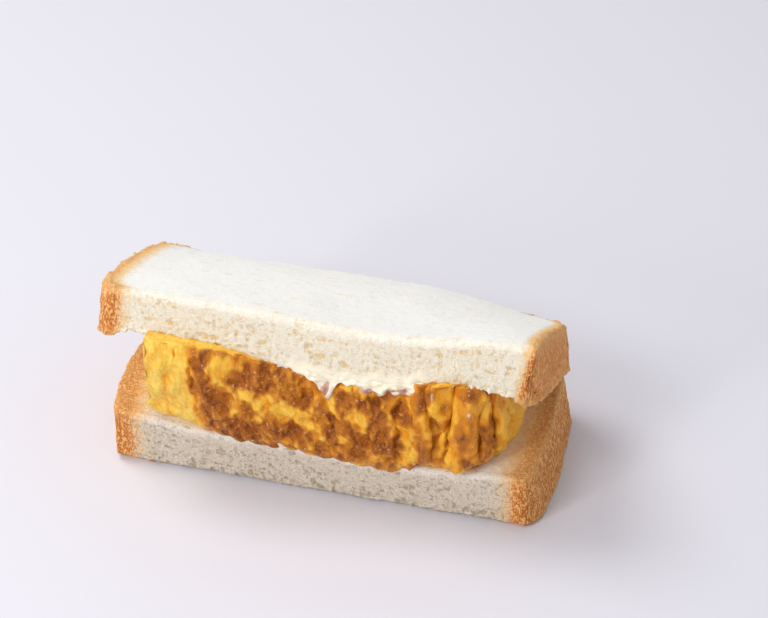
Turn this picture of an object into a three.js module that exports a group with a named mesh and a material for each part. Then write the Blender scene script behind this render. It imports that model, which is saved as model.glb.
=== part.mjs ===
// One half of an omelette sandwich: two slices of white tin bread, cut across the middle, with a thick
// folded omelette and a smear of mayonnaise between them. The crust edges meet at the back and the cut
// side gapes, so the half is a wedge that stands on its lower slice.
// Millimetres. +X runs along the cut side, -Y faces out of it, +Z is up.
import * as THREE from 'three';
import { mergeVertices } from 'three/addons/utils/BufferGeometryUtils.js';

// Bread
const SLICE_LENGTH = 120; // along the cut
const SLICE_DEPTH = 58;
const BACK_BULGE = 3.5;
const CORNER_RADIUS = 10; // of the loaf's corners, at the back
const SLICE_END = SLICE_LENGTH / 2;
const LOWER_THICKNESS = 17;
const LOWER_BACK_RISE = 0.8;
const CRUST_ROUNDING = 0.9; // by which a crust edge draws in
const LOWER_CUT_ROUNDING = 2; // by which the lower slice's cut draws in at its foot
const FOOT_SHARE = 0.12; // of the thickness, which that takes
const FOOT_FADE = 8;

// Crust sides swell behind the cut: by how much, over how much depth, and how much of it is lost by the back.
// At the right a slice's upper face can be longer than its lower one at the cut, and shorter behind it.
const LOWER_SIDES = {
  left: 5, leftOnset: 11, right: 5, rightOnset: 3, lost: 0.6, splayAtCut: 0, splayBehind: 0,
};
const UPPER_SIDES = {
  left: 5.3, leftOnset: 2.8, right: 4, rightOnset: 4, lost: 0.3, splayAtCut: 3, splayBehind: -3,
};
const NARROWING_START = SLICE_DEPTH / 2.5;

// How the slices stand
const CUT_Y = -SLICE_DEPTH / 2;
const UPPER_FRONT_Y = CUT_Y - 2;
const UPPER_FRONT_HEIGHT = 44.8; // lower edge of the upper slice's cut side
const UPPER_BEND = THREE.MathUtils.degToRad(12); // front to back
const CLEARANCE = 0.35;
const FILLING_CLEARANCE = 0.6;

// Filling
const FILLING_LEFT_TOP = -47;
const FILLING_LEFT_FOOT = -52;
const FILLING_RIGHT = 52.5;
const FILLING_DEPTH = 44; // along the upper slice, from its cut side
const FILLING_TURN = 13; // radius in plan of the folded right-hand end

// Mayonnaise: a thin layer above the filling, which oozes out of the cut in one stretch, and one below
const MAYONNAISE_THICKNESS = 0.9;
const MAYONNAISE_LEFT = -34;
const MAYONNAISE_RIGHT = 39;
const MAYONNAISE_START = 5.5; // depth behind the cut
const BEAD = 1.3;
const BEAD_LEFT = 2;
const BEAD_RIGHT = 34;

const clamp01 = (t) => Math.min(1, Math.max(0, t));
const lerp = (a, b, t) => a + (b - a) * t;
const smooth = (a, b, t) => {
  const s = clamp01((t - a) / (b - a));
  return s * s * (3 - 2 * s);
};
const hump = (x, centre, width) => Math.exp(-(((x - centre) / width) ** 2));
const band = (x, low, high, soft) => smooth(low - soft, low + soft, x) - smooth(high - soft, high + soft, x);
const swells = (x, list) => list.reduce((sum, s) => sum + s.rise * hump(x, s.centre, s.width), 0);

const SAME_PLACE = 1e-5;

// A closed block of cells over across -1..1, back 0..1 and up 0..1, with its points moved by place().
function block(cellsAcross, cellsBack, cellsUp, place) {
  const box = new THREE.BoxGeometry(2, 1, 1, cellsAcross, cellsBack, cellsUp);
  box.translate(0, 0.5, 0.5);
  box.deleteAttribute('normal');
  box.deleteAttribute('uv');
  const merged = mergeVertices(box, SAME_PLACE);
  const position = merged.attributes.position;
  for (let i = 0; i < position.count; i++) {
    const across = position.getX(i);
    const back = clamp01(position.getY(i));
    const up = clamp01(position.getZ(i));
    position.setXYZ(i, ...place(across, back, up));
  }
  merged.computeVertexNormals();
  return merged;
}

// Plan of half a slice: straight along the cut, swollen crust sides, round corners at the back.
function slicePlan(across, back, sides) {
  const share = 0.5 - 0.5 * Math.cos(Math.PI * back); // closer rows towards the cut and the round corners
  const depth = share * SLICE_DEPTH;
  const turn = Math.max(0, CORNER_RADIUS - (SLICE_DEPTH - depth));
  const inset = CORNER_RADIUS - Math.sqrt(CORNER_RADIUS ** 2 - turn ** 2);
  const kept = 1 - sides.lost * smooth(NARROWING_START, SLICE_DEPTH, depth);
  const left = -SLICE_END - kept * sides.left * (1 - Math.exp(-depth / sides.leftOnset)) + inset;
  const right = SLICE_END + kept * sides.right * (1 - Math.exp(-depth / sides.rightOnset)) - inset;
  const bulge = BACK_BULGE * share * share * (1 - across * across);
  return { x: lerp(left, right, (across + 1) / 2), depth: depth + bulge };
}

// A slice's point in plan and its share of the thickness. Both faces are a little smaller than the middle,
// so the crust edges are rounded.
function slicePoint(across, back, up, sides) {
  const share = 0.5 - 0.5 * Math.cos(Math.PI * up); // closer rows towards the faces
  const rim = (2 * share - 1) ** 6;
  const plan = slicePlan(across, back, sides);
  const behind = 1 - Math.exp(-plan.depth / sides.rightOnset);
  const splay = lerp(sides.splayAtCut, sides.splayBehind, behind) * Math.max(0, across) ** 3;
  return {
    x: plan.x - rim * CRUST_ROUNDING * across ** 5 + splay * (share - 0.5),
    depth: plan.depth - rim * CRUST_ROUNDING * back ** 4,
    share,
  };
}

// Upper face of the lower slice, pressed down by the filling towards the cut side.
const PRESS = 1.6;
const PRESS_LEFT = -44;
const PRESS_RIGHT = 46;
const PRESS_FADE = 8;
const PRESS_START = 6;
const PRESS_DEPTH = 46;
const BACK_RISE_START = 20;
const BACK_RISE_END = 55;
const PRESS_SWELLS = [{ centre: 15, width: 12, rise: 1.3 }];
function lowerSliceTop(x, y) {
  const press = PRESS * band(x, PRESS_LEFT, PRESS_RIGHT, PRESS_FADE) + swells(x, PRESS_SWELLS);
  const backRise = LOWER_BACK_RISE * smooth(CUT_Y + BACK_RISE_START, CUT_Y + BACK_RISE_END, y);
  return LOWER_THICKNESS + backRise - press * (1 - smooth(CUT_Y + PRESS_START, CUT_Y + PRESS_DEPTH, y));
}

function lowerSlice(across, back, up) {
  const { x, depth, share } = slicePoint(across, back, up, LOWER_SIDES);
  const foot = LOWER_CUT_ROUNDING * (1 - smooth(0, FOOT_SHARE, share)) * (1 - smooth(0, FOOT_FADE, depth));
  const y = CUT_Y + depth + foot;
  return [x, y, share * lowerSliceTop(x, y)];
}

// The upper slice hangs on a circular arc in the plane of Y and Z, from its cut side down to the back.
const restHeight = LOWER_THICKNESS + LOWER_BACK_RISE + CLEARANCE;
const arcLength = SLICE_DEPTH + BACK_BULGE;
const chordSlope = Math.asin((UPPER_FRONT_HEIGHT - restHeight) / arcLength);
const frontSlope = chordSlope - UPPER_BEND / 2;
const arcRadius = arcLength / UPPER_BEND;

function onArc(x, depth, height) {
  const slope = frontSlope + depth / arcRadius;
  return [
    x,
    UPPER_FRONT_Y + arcRadius * (Math.sin(slope) - Math.sin(frontSlope)) + height * Math.sin(slope),
    UPPER_FRONT_HEIGHT + arcRadius * (Math.cos(slope) - Math.cos(frontSlope)) + height * Math.cos(slope),
  ];
}

// Height of the upper slice's lower face over its arc: up over the filling's ends, sagging between them.
const UNDERSIDE_SWELLS = [
  { centre: -48, width: 16, rise: 3.1 },
  { centre: -28, width: 10, rise: 1.6 },
  { centre: 8, width: 18, rise: -2.2 },
  { centre: 43, width: 14, rise: 2.5 },
];
const UNDERSIDE_FADE = 40;
const UNDERSIDE_DROOP = 1.4; // at the ends of the cut
const DROOP_START = 55;
function upperSliceUnderside(x, depth) {
  const wave = swells(x, UNDERSIDE_SWELLS) - UNDERSIDE_DROOP * smooth(DROOP_START, SLICE_END, Math.abs(x));
  return wave * (1 - smooth(0, UNDERSIDE_FADE, depth));
}

// Height of its upper face: at the cut it dips in the middle and is thicker at the right; towards the back
// it crowns, with the left corner curled up and the right one pinched down.
const FRONT_TOP = 14.7;
const FRONT_TOP_SWELLS = [{ centre: 14, width: 20, rise: -1.4 }];
const FRONT_TOP_RIGHT_RISE = 1.9;
const BACK_TOP = 17.4;
const BACK_LEFT_CURL = 1.4;
const BACK_RIGHT_DROP = 4;
function upperSliceTop(x, depth) {
  const front = FRONT_TOP + swells(x, FRONT_TOP_SWELLS) + FRONT_TOP_RIGHT_RISE * smooth(28, 54, x);
  const back = BACK_TOP + BACK_LEFT_CURL * smooth(-50, -62, x) - BACK_RIGHT_DROP * smooth(15, 60, x);
  return lerp(front, back, smooth(2, 52, depth));
}

function upperSlice(across, back, up) {
  const { x, depth, share } = slicePoint(across, back, up, UPPER_SIDES);
  return onArc(x, depth, lerp(upperSliceUnderside(x, depth), upperSliceTop(x, depth), share));
}

// The filling fills the wedge. Its front and its round right-hand end carry the folds, which are laid
// out along the outline in plan: x along the front, then round the turn and back along the end.
const turnX = FILLING_RIGHT - FILLING_TURN;
const turnY = UPPER_FRONT_Y + FILLING_TURN;

function alongOutline(x, y) {
  const dx = x - turnX;
  const dy = y - turnY;
  if (dx <= 0) return { along: x, outX: 0, outY: -1 };
  if (dy >= 0) return { along: turnX + (FILLING_TURN * Math.PI) / 2 + dy, outX: 1, outY: 0 };
  const angle = Math.atan2(dx, -dy);
  return { along: turnX + FILLING_TURN * angle, outX: Math.sin(angle), outY: -Math.cos(angle) };
}

const oozing = (x) => band(x, BEAD_LEFT, BEAD_RIGHT, 4);

// Creases of the folded end: place along the outline at mid height, lean, depth, width, span of height.
const CREASES = [
  { along: 26, lean: 1.5, depth: 3, width: 1.6, low: -0.1, high: 1.1 },
  { along: 33.2, lean: -1.2, depth: 4.5, width: 1.7, low: -0.1, high: 0.85 },
  { along: 38.3, lean: 1.2, depth: 3.2, width: 1.3, low: 0.05, high: 1.1 },
  { along: 47.6, lean: 4.5, depth: 3, width: 1.5, low: -0.1, high: 1.1 },
  { along: 51.6, lean: -1, depth: 1.6, width: 1.2, low: -0.1, high: 0.7 },
  { along: 59.5, lean: 0, depth: 3.6, width: 2, low: -0.1, high: 1.1 },
];
const CREASE_FADE = 0.12; // of the height

// Lobes between the creases, and the swells of the browned stretch.
const LOBES = [
  { along: -44, lean: 1, rise: 0.9, width: 4, middle: 0.5, tall: 0.8 },
  { along: -29, lean: -3, rise: 1.1, width: 5, middle: 0.35, tall: 0.5 },
  { along: -14, lean: 4, rise: 1.3, width: 6, middle: 0.6, tall: 0.5 },
  { along: -1, lean: -3, rise: 1, width: 5, middle: 0.3, tall: 0.45 },
  { along: 9, lean: 2, rise: 1.4, width: 5, middle: 0.65, tall: 0.5 },
  { along: 19, lean: -3, rise: 1.6, width: 5, middle: 0.35, tall: 0.6 },
  { along: 29.6, lean: -1, rise: 1.6, width: 2.8, middle: 0.4, tall: 0.7 },
  { along: 35.6, lean: 0, rise: 2.4, width: 2.4, middle: 0.85, tall: 0.4 },
  { along: 42.6, lean: 1, rise: 3.2, width: 4, middle: 0.45, tall: 0.8 },
  { along: 55.3, lean: 0, rise: 2, width: 3, middle: 0.5, tall: 0.8 },
  { along: 65, lean: 0, rise: 1.8, width: 4, middle: 0.6, tall: 0.5 },
];
const SIDE_SWELL = 1.6;
const RIPPLE = 0.55;

function relief(along, up) {
  let out = SIDE_SWELL * Math.sin(Math.PI * clamp01(up));
  for (const c of CREASES) {
    const place = c.along + c.lean * (up - 0.5);
    out -= c.depth * hump(along, place, c.width) * band(up, c.low, c.high, CREASE_FADE);
  }
  for (const l of LOBES) {
    out += l.rise * hump(along, l.along + l.lean * (up - 0.5), l.width) * hump(up, l.middle, l.tall);
  }
  const browned = band(along, -36, 24, 4);
  out += RIPPLE * browned * Math.sin(along * 0.9 + 7 * up) * Math.sin(11 * up + along * 0.35);
  return out;
}

// Where the front stands, before its relief: the top leans out at the left and at the folded end, the foot
// is flush with the cut and set back at the left.
const TOP_FRONT_LEFT = -35.5;
const TOP_FRONT = -31.4;
const FOLDED_LEAN = 2.4;
const FOOT_FRONT_LEFT = -25;
const FOOT_FRONT = -30.6;
function frontLine(x, up) {
  const top = lerp(TOP_FRONT_LEFT, TOP_FRONT, smooth(-34, 2, x)) - FOLDED_LEAN * band(x, 28, 46, 4);
  const foot = lerp(FOOT_FRONT_LEFT, FOOT_FRONT, smooth(-50, -40, x));
  return lerp(foot, top, smooth(-0.15, 1, up));
}

const LEAN_FADE = 26; // depth over which the body follows its front
const FRONT_REACH = 9; // depth over which the relief of the front fades
const END_REACH = 8;
const LAYER_ROOM = MAYONNAISE_THICKNESS + CLEARANCE + 0.15;
const END_HOLLOW = 0.8;
const EDGE_ROUNDING = 1.6;
const EDGE_SHARE = 0.14; // of the height, which an edge's rounding takes
function filling(across, back, up) {
  const regularDepth = back ** 1.25 * FILLING_DEPTH; // closer rows towards the cut side
  const turn = Math.max(0, FILLING_TURN - regularDepth);
  const inset = FILLING_TURN - Math.sqrt(FILLING_TURN ** 2 - turn ** 2);
  const left = lerp(FILLING_LEFT_FOOT, FILLING_LEFT_TOP, up);
  const regularX = lerp(left, FILLING_RIGHT - inset, (across + 1) / 2);
  const slope = frontSlope + regularDepth / arcRadius;
  const regularY = UPPER_FRONT_Y + arcRadius * (Math.sin(slope) - Math.sin(frontSlope));

  const { along, outX, outY } = alongOutline(regularX, regularY);
  const nearFront = 1 - smooth(0, FRONT_REACH, regularDepth);
  const nearEnd = smooth(FILLING_RIGHT - inset - END_REACH, FILLING_RIGHT - inset, regularX);
  const edge = Math.min(up, 1 - up);
  const edgeRounding = EDGE_ROUNDING * (1 - smooth(0, EDGE_SHARE, edge));
  const out = (relief(along, up) - edgeRounding) * Math.max(nearFront, nearEnd);
  const follows = (1 - smooth(0, LEAN_FADE, regularDepth)) * (1 - nearEnd);
  const x = regularX + outX * out + END_HOLLOW * smooth(-0.93, -1, across) * Math.sin(Math.PI * up);
  const y = regularY + outY * out + (frontLine(regularX, up) - UPPER_FRONT_Y) * follows;

  const layered = band(x, MAYONNAISE_LEFT - 4, MAYONNAISE_RIGHT + 4, 3) * LAYER_ROOM;
  const depth = Math.max(0, regularDepth + (y - regularY) / Math.cos(slope));
  const besideBead = band(x, BEAD_LEFT - 6, BEAD_RIGHT + 6, 3);
  const roomAbove = FILLING_CLEARANCE + layered * Math.max(besideBead, smooth(0.5, 2.5, depth));
  const roomBelow = FILLING_CLEARANCE + layered * smooth(CUT_Y + 0.5, CUT_Y + 3, y);
  const [, , ceiling] = onArc(x, depth, upperSliceUnderside(x, depth) - roomAbove);
  return [x, y, lerp(lowerSliceTop(x, y) + roomBelow, ceiling, up)];
}

function upperMayonnaise(across, back, up) {
  const x = lerp(MAYONNAISE_LEFT, MAYONNAISE_RIGHT, (across + 1) / 2);
  const start = lerp(MAYONNAISE_START, FILLING_CLEARANCE, oozing(x));
  const depth = lerp(start, 38 - 5 * across * across, back ** 1.6); // closer rows towards the cut side
  const height = upperSliceUnderside(x, depth) - CLEARANCE - MAYONNAISE_THICKNESS * (1 - up);
  const [px, py, pz] = onArc(x, depth, height);
  const bead = BEAD * (1.4 + 0.5 * Math.sin(x * 0.8)) * oozing(x) * (1 - smooth(0, 2.5, depth));
  return [px, py - bead, pz];
}

function lowerMayonnaise(across, back, up) {
  const x = lerp(MAYONNAISE_LEFT, MAYONNAISE_RIGHT, (across + 1) / 2);
  const y = lerp(CUT_Y + MAYONNAISE_START, 8 - 4 * across * across, back);
  return [x, y, lowerSliceTop(x, y) + CLEARANCE + MAYONNAISE_THICKNESS * up];
}

const crumb = () => new THREE.MeshStandardMaterial({ color: 0xf3ead2, roughness: 0.9, metalness: 0 });
const egg = () => new THREE.MeshStandardMaterial({ color: 0xdb9c34, roughness: 0.5, metalness: 0 });
const cream = () => new THREE.MeshStandardMaterial({ color: 0xf3ece0, roughness: 0.35, metalness: 0 });

function piece(name, geometry, material) {
  const mesh = new THREE.Mesh(geometry, material);
  mesh.name = name;
  return mesh;
}

const sandwich = new THREE.Group();
sandwich.add(
  piece('bread_lower', block(36, 14, 4, lowerSlice), crumb()),
  piece('bread_upper', block(36, 14, 4, upperSlice), crumb()),
  piece('omelette', block(64, 10, 11, filling), egg()),
  piece('mayonnaise_upper', block(26, 8, 1, upperMayonnaise), cream()),
  piece('mayonnaise_lower', block(16, 5, 1, lowerMayonnaise), cream()),
);

// The origin is under the middle of the whole, on the surface that it stands on.
const extent = new THREE.Box3().setFromObject(sandwich);
const middle = extent.getCenter(new THREE.Vector3());
sandwich.position.set(-middle.x, -middle.y, -extent.min.z);

export default sandwich;
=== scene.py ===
"""Half of an omelette sandwich: two slices of white tin bread, cut across the middle, a folded omelette
and a smear of mayonnaise. Shapes are worked out in millimetres and stored in metres, in the part's frame.
+X runs along the cut side, -Y faces out of it, +Z is up."""

import math

import bpy
import numpy as np
from bpy.props import FloatProperty, FloatVectorProperty, PointerProperty
from bpy.types import Operator, Panel, PropertyGroup
from mathutils import Matrix, Vector, noise
from mathutils.bvhtree import BVHTree


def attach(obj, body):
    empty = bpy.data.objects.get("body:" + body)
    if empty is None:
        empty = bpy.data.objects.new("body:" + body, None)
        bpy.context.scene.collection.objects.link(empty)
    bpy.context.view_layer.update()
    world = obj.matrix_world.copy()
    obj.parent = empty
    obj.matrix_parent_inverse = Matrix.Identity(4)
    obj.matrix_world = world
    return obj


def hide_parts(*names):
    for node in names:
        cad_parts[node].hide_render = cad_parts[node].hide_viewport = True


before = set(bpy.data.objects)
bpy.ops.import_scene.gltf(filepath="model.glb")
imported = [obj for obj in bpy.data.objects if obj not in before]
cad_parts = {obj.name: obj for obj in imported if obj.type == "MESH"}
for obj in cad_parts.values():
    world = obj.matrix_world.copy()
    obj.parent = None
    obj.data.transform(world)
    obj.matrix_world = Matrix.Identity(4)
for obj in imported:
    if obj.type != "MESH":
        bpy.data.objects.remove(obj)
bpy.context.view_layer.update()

bl_info = {
    "name": "Omelette Sandwich Half",
    "version": (1, 0, 0),
    "blender": (4, 5, 0),
    "location": "3D View > Sidebar > Sandwich",
    "description": "Builds half of an omelette sandwich with its bread, filling and mayonnaise",
    "category": "Add Mesh",
}

MM = 0.001
BODY = "root"
FRAME_SHIFT = np.array([0.1505, 2.0695, 0.0])  # from the shapes' own axes to the part's origin

# Bread, in millimetres
SLICE_DEPTH = 58.0
SLICE_END = 60.0
BACK_BULGE = 3.5
CORNER_RADIUS = 10.0
CRUST_ROUNDING = 1.3
LOWER_THICKNESS = 17.0
LOWER_BACK_RISE = 0.8
LOWER_CUT_ROUNDING = 2.0
CUT_Y = -29.0

# For each slice: how far its left and right ends swell out behind the cut and over what depth, the share of
# that which is lost at the back, how far the right end splays from face to face, the widths of crust and
# toasted crumb at the left, right and back, how much wider the toast is behind the cut, the fuzz of the
# rims, the depth of the crease, how much thinner crust and toast are on the faces, and how much painted
# light lightens the crust of the right end, which faces away from the lamps
LOWER_SIDES = {
    "left": 5.0, "left_onset": 11.0, "right": 3.6, "right_onset": 3.0,
    "lost": 0.6, "splay_at_cut": 0.0, "splay_behind": -3.2,
    "crust": (5.4, 3.6, 1.4), "toast": (8.0, 7.0, 2.0), "toast_behind": 1.3, "fuzz": 0.5, "crease": 0.3,
    "thinned": 1.0, "toast_thinned": 1.0, "end_light_share": 0.15,
}
UPPER_SIDES = {
    "left": 5.3, "left_onset": 2.8, "right": 2.4, "right_onset": 4.0,
    "lost": 0.3, "splay_at_cut": 3.0, "splay_behind": -3.0,
    "crust": (2.8, 1.2, 0.5), "toast": (5.0, 3.0, 0.8), "toast_behind": 1.0, "fuzz": 0.7, "crease": 1.7,
    "thinned": 1.9, "toast_thinned": 1.2, "end_light_share": 0.5,
}
BACK_SIDE = 2  # place of the back crust in a slice's three widths
END_CREASE = [(0.4, 7.0), (3.5, 4.4), (7.5, 0.0)]  # depth and height of a crease on the right end

# How the upper slice leans
UPPER_FRONT_Y = -31.0
UPPER_FRONT_HEIGHT = 44.8
UPPER_BEND = math.radians(12)
CLEARANCE = 0.35
FILLING_CLEARANCE = 0.3
REST_HEIGHT = LOWER_THICKNESS + LOWER_BACK_RISE + CLEARANCE
ARC_LENGTH = SLICE_DEPTH + BACK_BULGE
FRONT_SLOPE = math.asin((UPPER_FRONT_HEIGHT - REST_HEIGHT) / ARC_LENGTH) - UPPER_BEND / 2
ARC_RADIUS = ARC_LENGTH / UPPER_BEND

# Omelette
FILLING_LEFT_TOP = -48.2
FILLING_LEFT_FOOT = -50.8
FILLING_RIGHT = 52.5
FILLING_DEPTH = 44.0
FILLING_TURN = 13.0
FILLING_HEIGHT = 24.0
TURN_X = FILLING_RIGHT - FILLING_TURN
TURN_Y = UPPER_FRONT_Y + FILLING_TURN


def clamp01(t):
    return np.clip(t, 0.0, 1.0)


def lerp(a, b, t):
    return a + (b - a) * t


def smooth(a, b, t):
    s = clamp01((t - a) / (b - a))
    return s * s * (3 - 2 * s)


def fading(t, reach):
    """1 at 0 and below, down to 0 at reach."""
    return 1 - smooth(0, reach, t)


def hump(x, centre, width):
    return np.exp(-(((x - centre) / width) ** 2))


def band(x, low, high, soft):
    return smooth(low - soft, low + soft, x) - smooth(high - soft, high + soft, x)


def swells(x, humps):
    """Sum of humps, each given as its centre, width and rise."""
    return sum(rise * hump(x, centre, width) for centre, width, rise in humps)


def drawn_to_ends(share, strength):
    """Even shares from 0 to 1, drawn together towards both ends."""
    return lerp(share, 0.5 - 0.5 * np.cos(np.pi * share), strength)


def at(x, y, z):
    """Points from their coordinates, some of which may be single numbers."""
    return np.stack(np.broadcast_arrays(x, y, z), -1)


def quarter_round(gap, radius):
    """How far a face draws in at a distance from its edge, so that the edge is a quarter round."""
    reach = np.clip(radius - gap, 0.0, radius)
    return radius - np.sqrt(radius**2 - reach**2)


def clouds(points, size, seed):
    """Soft noise, mostly between -0.6 and 0.6, with lumps of that size in millimetres."""
    return np.array([noise.noise(p) for p in (points / size + seed).tolist()])


def seams(points, size, seed):
    """0 on the borders between lumps of that size, rising inside them."""
    found = [noise.voronoi(p)[0] for p in (points / size + seed).tolist()]
    return np.array([d[1] - d[0] for d in found])


# Building blocks for pieces


def start_clean():
    if bpy.context.object and bpy.context.object.mode != "OBJECT":
        bpy.ops.object.mode_set(mode="OBJECT")
    bpy.ops.object.select_all(action="DESELECT")


def cube_in_cells(name, cells):
    """A cube cut into even cells in edit mode. cells gives, for each axis, the cuts' successive counts."""
    start_clean()
    bpy.ops.mesh.primitive_cube_add(size=1, location=(0, 0, 0))
    piece = bpy.context.object
    piece.name = name
    piece.data.name = name
    for axis, counts in enumerate(cells):
        for count in counts:
            mesh = piece.data
            ends = np.empty(len(mesh.edges) * 2, int)
            mesh.edges.foreach_get("vertices", ends)
            places = read_points(piece)[ends.reshape(-1, 2)]
            runs = np.abs(places[:, 0] - places[:, 1])
            along = runs.argmax(1) == axis
            bpy.ops.object.mode_set(mode="EDIT")
            bpy.ops.mesh.select_mode(type="EDGE")
            bpy.ops.mesh.select_all(action="DESELECT")
            bpy.ops.object.mode_set(mode="OBJECT")
            mesh.edges.foreach_set("select", along)
            bpy.ops.object.mode_set(mode="EDIT")
            bpy.ops.mesh.subdivide(number_cuts=count - 1)
            bpy.ops.object.mode_set(mode="OBJECT")
    return piece


def read_vectors(items, name):
    vectors = np.empty(len(items) * 3)
    items.foreach_get(name, vectors)
    return vectors.reshape(-1, 3)


def read_points(piece):
    return read_vectors(piece.data.vertices, "co")


def write_points(piece, points):
    piece.data.vertices.foreach_set("co", points.ravel())
    piece.data.update()


def add_relief(piece, points, relief):
    """Moves points out along the piece's normals."""
    write_points(piece, points + read_vectors(piece.data.vertex_normals, "vector") * relief[:, None])


def add_ball(segments, ring_count):
    start_clean()
    bpy.ops.mesh.primitive_uv_sphere_add(
        segments=segments, ring_count=ring_count, radius=1, location=(0, 0, 0))
    return bpy.context.object


def cell_shares(piece):
    """A cut cube's points as across -1..1, back 0..1 and up 0..1."""
    points = read_points(piece)
    return points[:, 0] * 2, clamp01(points[:, 1] + 0.5), clamp01(points[:, 2] + 0.5)


def paint(piece, place, **shares):
    """Stores what the materials read: a place and named shares at each of the piece's points."""
    layer = piece.data.attributes.new("place", "FLOAT_VECTOR", "POINT")
    layer.data.foreach_set("vector", place.astype(np.float32).ravel())
    for name, values in shares.items():
        layer = piece.data.attributes.new(name, "FLOAT", "POINT")
        layer.data.foreach_set("value", values.astype(np.float32))


def join_pieces(pieces):
    start_clean()
    for piece in pieces:
        piece.select_set(True)
    bpy.context.view_layer.objects.active = pieces[0]
    bpy.ops.object.join()
    return pieces[0]


def finish_piece(piece, material, slot, *nodes):
    """Smooth shading, material, metres, and the piece's place on the part."""
    write_points(piece, (read_points(piece) + FRAME_SHIFT) * MM)
    start_clean()
    piece.select_set(True)
    bpy.context.view_layer.objects.active = piece
    bpy.ops.object.shade_smooth()
    piece.data.materials.clear()
    piece.data.materials.append(material)
    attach(piece, BODY)
    if nodes:
        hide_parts(*nodes)


# Material building


def srgb(red, green, blue):
    """A screen colour, 0..255, as a linear colour that covers fully."""
    def linear(value):
        v = value / 255
        return v / 12.92 if v <= 0.04045 else ((v + 0.055) / 1.055) ** 2.4

    return (linear(red), linear(green), linear(blue), 1.0)


class Value:
    """A value in a material. Sums, differences and products of values become math nodes."""

    def __init__(self, nodes, socket):
        self.nodes = nodes
        self.socket = socket

    def __add__(self, other):
        return self.nodes.math("ADD", self, other)

    def __sub__(self, other):
        return self.nodes.math("SUBTRACT", self, other)

    def __rsub__(self, other):
        return self.nodes.math("SUBTRACT", other, self)

    def __mul__(self, other):
        return self.nodes.math("MULTIPLY", self, other)

    def ramp(self, low, high):
        """0 below low, 1 above high and smooth between; low may be above high."""
        if low > high:
            ends = {1: high, 2: low, 3: 1.0, 4: 0.0}
        else:
            ends = {1: low, 2: high, 3: 0.0, 4: 1.0}
        return self.nodes.add("ShaderNodeMapRange", {0: self, **ends}, interpolation_type="SMOOTHSTEP")

    def covered(self, share, colour):
        """This colour with that share of another over it."""
        return self.nodes.blend(share, self, colour)

    def sibling(self, output):
        """Another output of the node that gives this value."""
        return Value(self.nodes, self.socket.node.outputs[output])


class Nodes:
    """Adds nodes to one tree. What goes into a node is a value to join, or a number or colour to set."""

    def __init__(self, tree):
        self.tree = tree

    def join(self, value, socket):
        if isinstance(value, Value):
            self.tree.links.new(value.socket, socket)
        else:
            socket.default_value = value

    def add(self, kind, inputs, output=0, **settings):
        """Adds a node and gives one of its outputs as a value."""
        node = self.tree.nodes.new(kind)
        for name, setting in settings.items():
            setattr(node, name, setting)
        for name, value in inputs.items():
            self.join(value, node.inputs[name])
        return Value(self, node.outputs[output])

    def math(self, operation, a, b, clamp=False):
        return self.add("ShaderNodeMath", {0: a, 1: b}, operation=operation, use_clamp=clamp)

    def blend(self, share, first, second):
        return self.add("ShaderNodeMix", {0: share, 6: first, 7: second}, 2, data_type="RGBA")

    def combine(self, operation, place, other):
        return self.add("ShaderNodeVectorMath", {0: place, 1: other}, operation=operation)

    def painted(self, *names):
        """The place and the shares that are painted on a piece."""
        place = self.add("ShaderNodeAttribute", {}, "Vector", attribute_name="place")
        return place, *(self.add("ShaderNodeAttribute", {}, "Fac", attribute_name=name) for name in names)

    def mottle(self, place, size, spread):
        group = node_group("Soft mottling", "Mottle", build_mottle, Size=1.0, Spread=2.0)
        inputs = {"Place": place, "Size": size, "Spread": spread}
        return self.add("ShaderNodeGroup", inputs, node_tree=group)

    def hollows(self, place, size, share):
        group = node_group("Small hollows", "Hollow", build_hollows, Size=1.0, Share=0.6)
        inputs = {"Place": place, "Size": size, "Share": share}
        return self.add("ShaderNodeGroup", inputs, node_tree=group)


def node_group(name, output, build, **numbers):
    """The node group of that name. The first time, build makes it from a place and the named numbers."""
    group = bpy.data.node_groups.get(name)
    if group is not None:
        return group
    group = bpy.data.node_groups.new(name, "ShaderNodeTree")
    group.interface.new_socket("Place", in_out="INPUT", socket_type="NodeSocketVector")
    for label, number in numbers.items():
        socket = group.interface.new_socket(label, in_out="INPUT", socket_type="NodeSocketFloat")
        socket.default_value = number
    group.interface.new_socket(output, in_out="OUTPUT", socket_type="NodeSocketFloat")
    nodes = Nodes(group)
    inside = group.nodes.new("NodeGroupInput")
    outside = group.nodes.new("NodeGroupOutput")
    values = [Value(nodes, inside.outputs[label]) for label in ("Place", *numbers)]
    nodes.join(build(nodes, *values), outside.inputs[output])
    return group


def build_mottle(nodes, place, size, spread):
    """Soft mottling of a given size, spread from 0 to 1."""
    rate = nodes.math("DIVIDE", 1.0, size)
    field = nodes.add("ShaderNodeTexNoise", {"Vector": place, "Scale": rate, "Detail": 3.0}, "Fac")
    return nodes.math("ADD", (field - 0.5) * spread, 0.5, clamp=True)


HOLLOW_REACH = 0.66  # radius of the largest hollow, as a share of its cell
HOLLOW_EDGE = (-0.03, 0.2)  # from outside its rim to where it is full, in the same terms


def build_hollows(nodes, place, size, share):
    """Rounded hollows of uneven size: 1 inside each, 0 between them. Share of the cells hold one."""
    rate = nodes.math("DIVIDE", 1.0, size)
    wobble = nodes.add("ShaderNodeTexNoise", {"Vector": place, "Scale": rate, "Detail": 2.0}, "Color")
    moved = nodes.combine("ADD", place, nodes.combine("MULTIPLY", wobble, size))
    distance = nodes.add("ShaderNodeTexVoronoi", {"Vector": moved, "Scale": rate}, "Distance", feature="F1")
    luck = nodes.add("ShaderNodeSeparateColor", {"Color": distance.sibling("Color")}, "Red")
    held = nodes.math("DIVIDE", luck + share - 1.0, share)
    return (held * HOLLOW_REACH - distance).ramp(*HOLLOW_EDGE)


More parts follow.
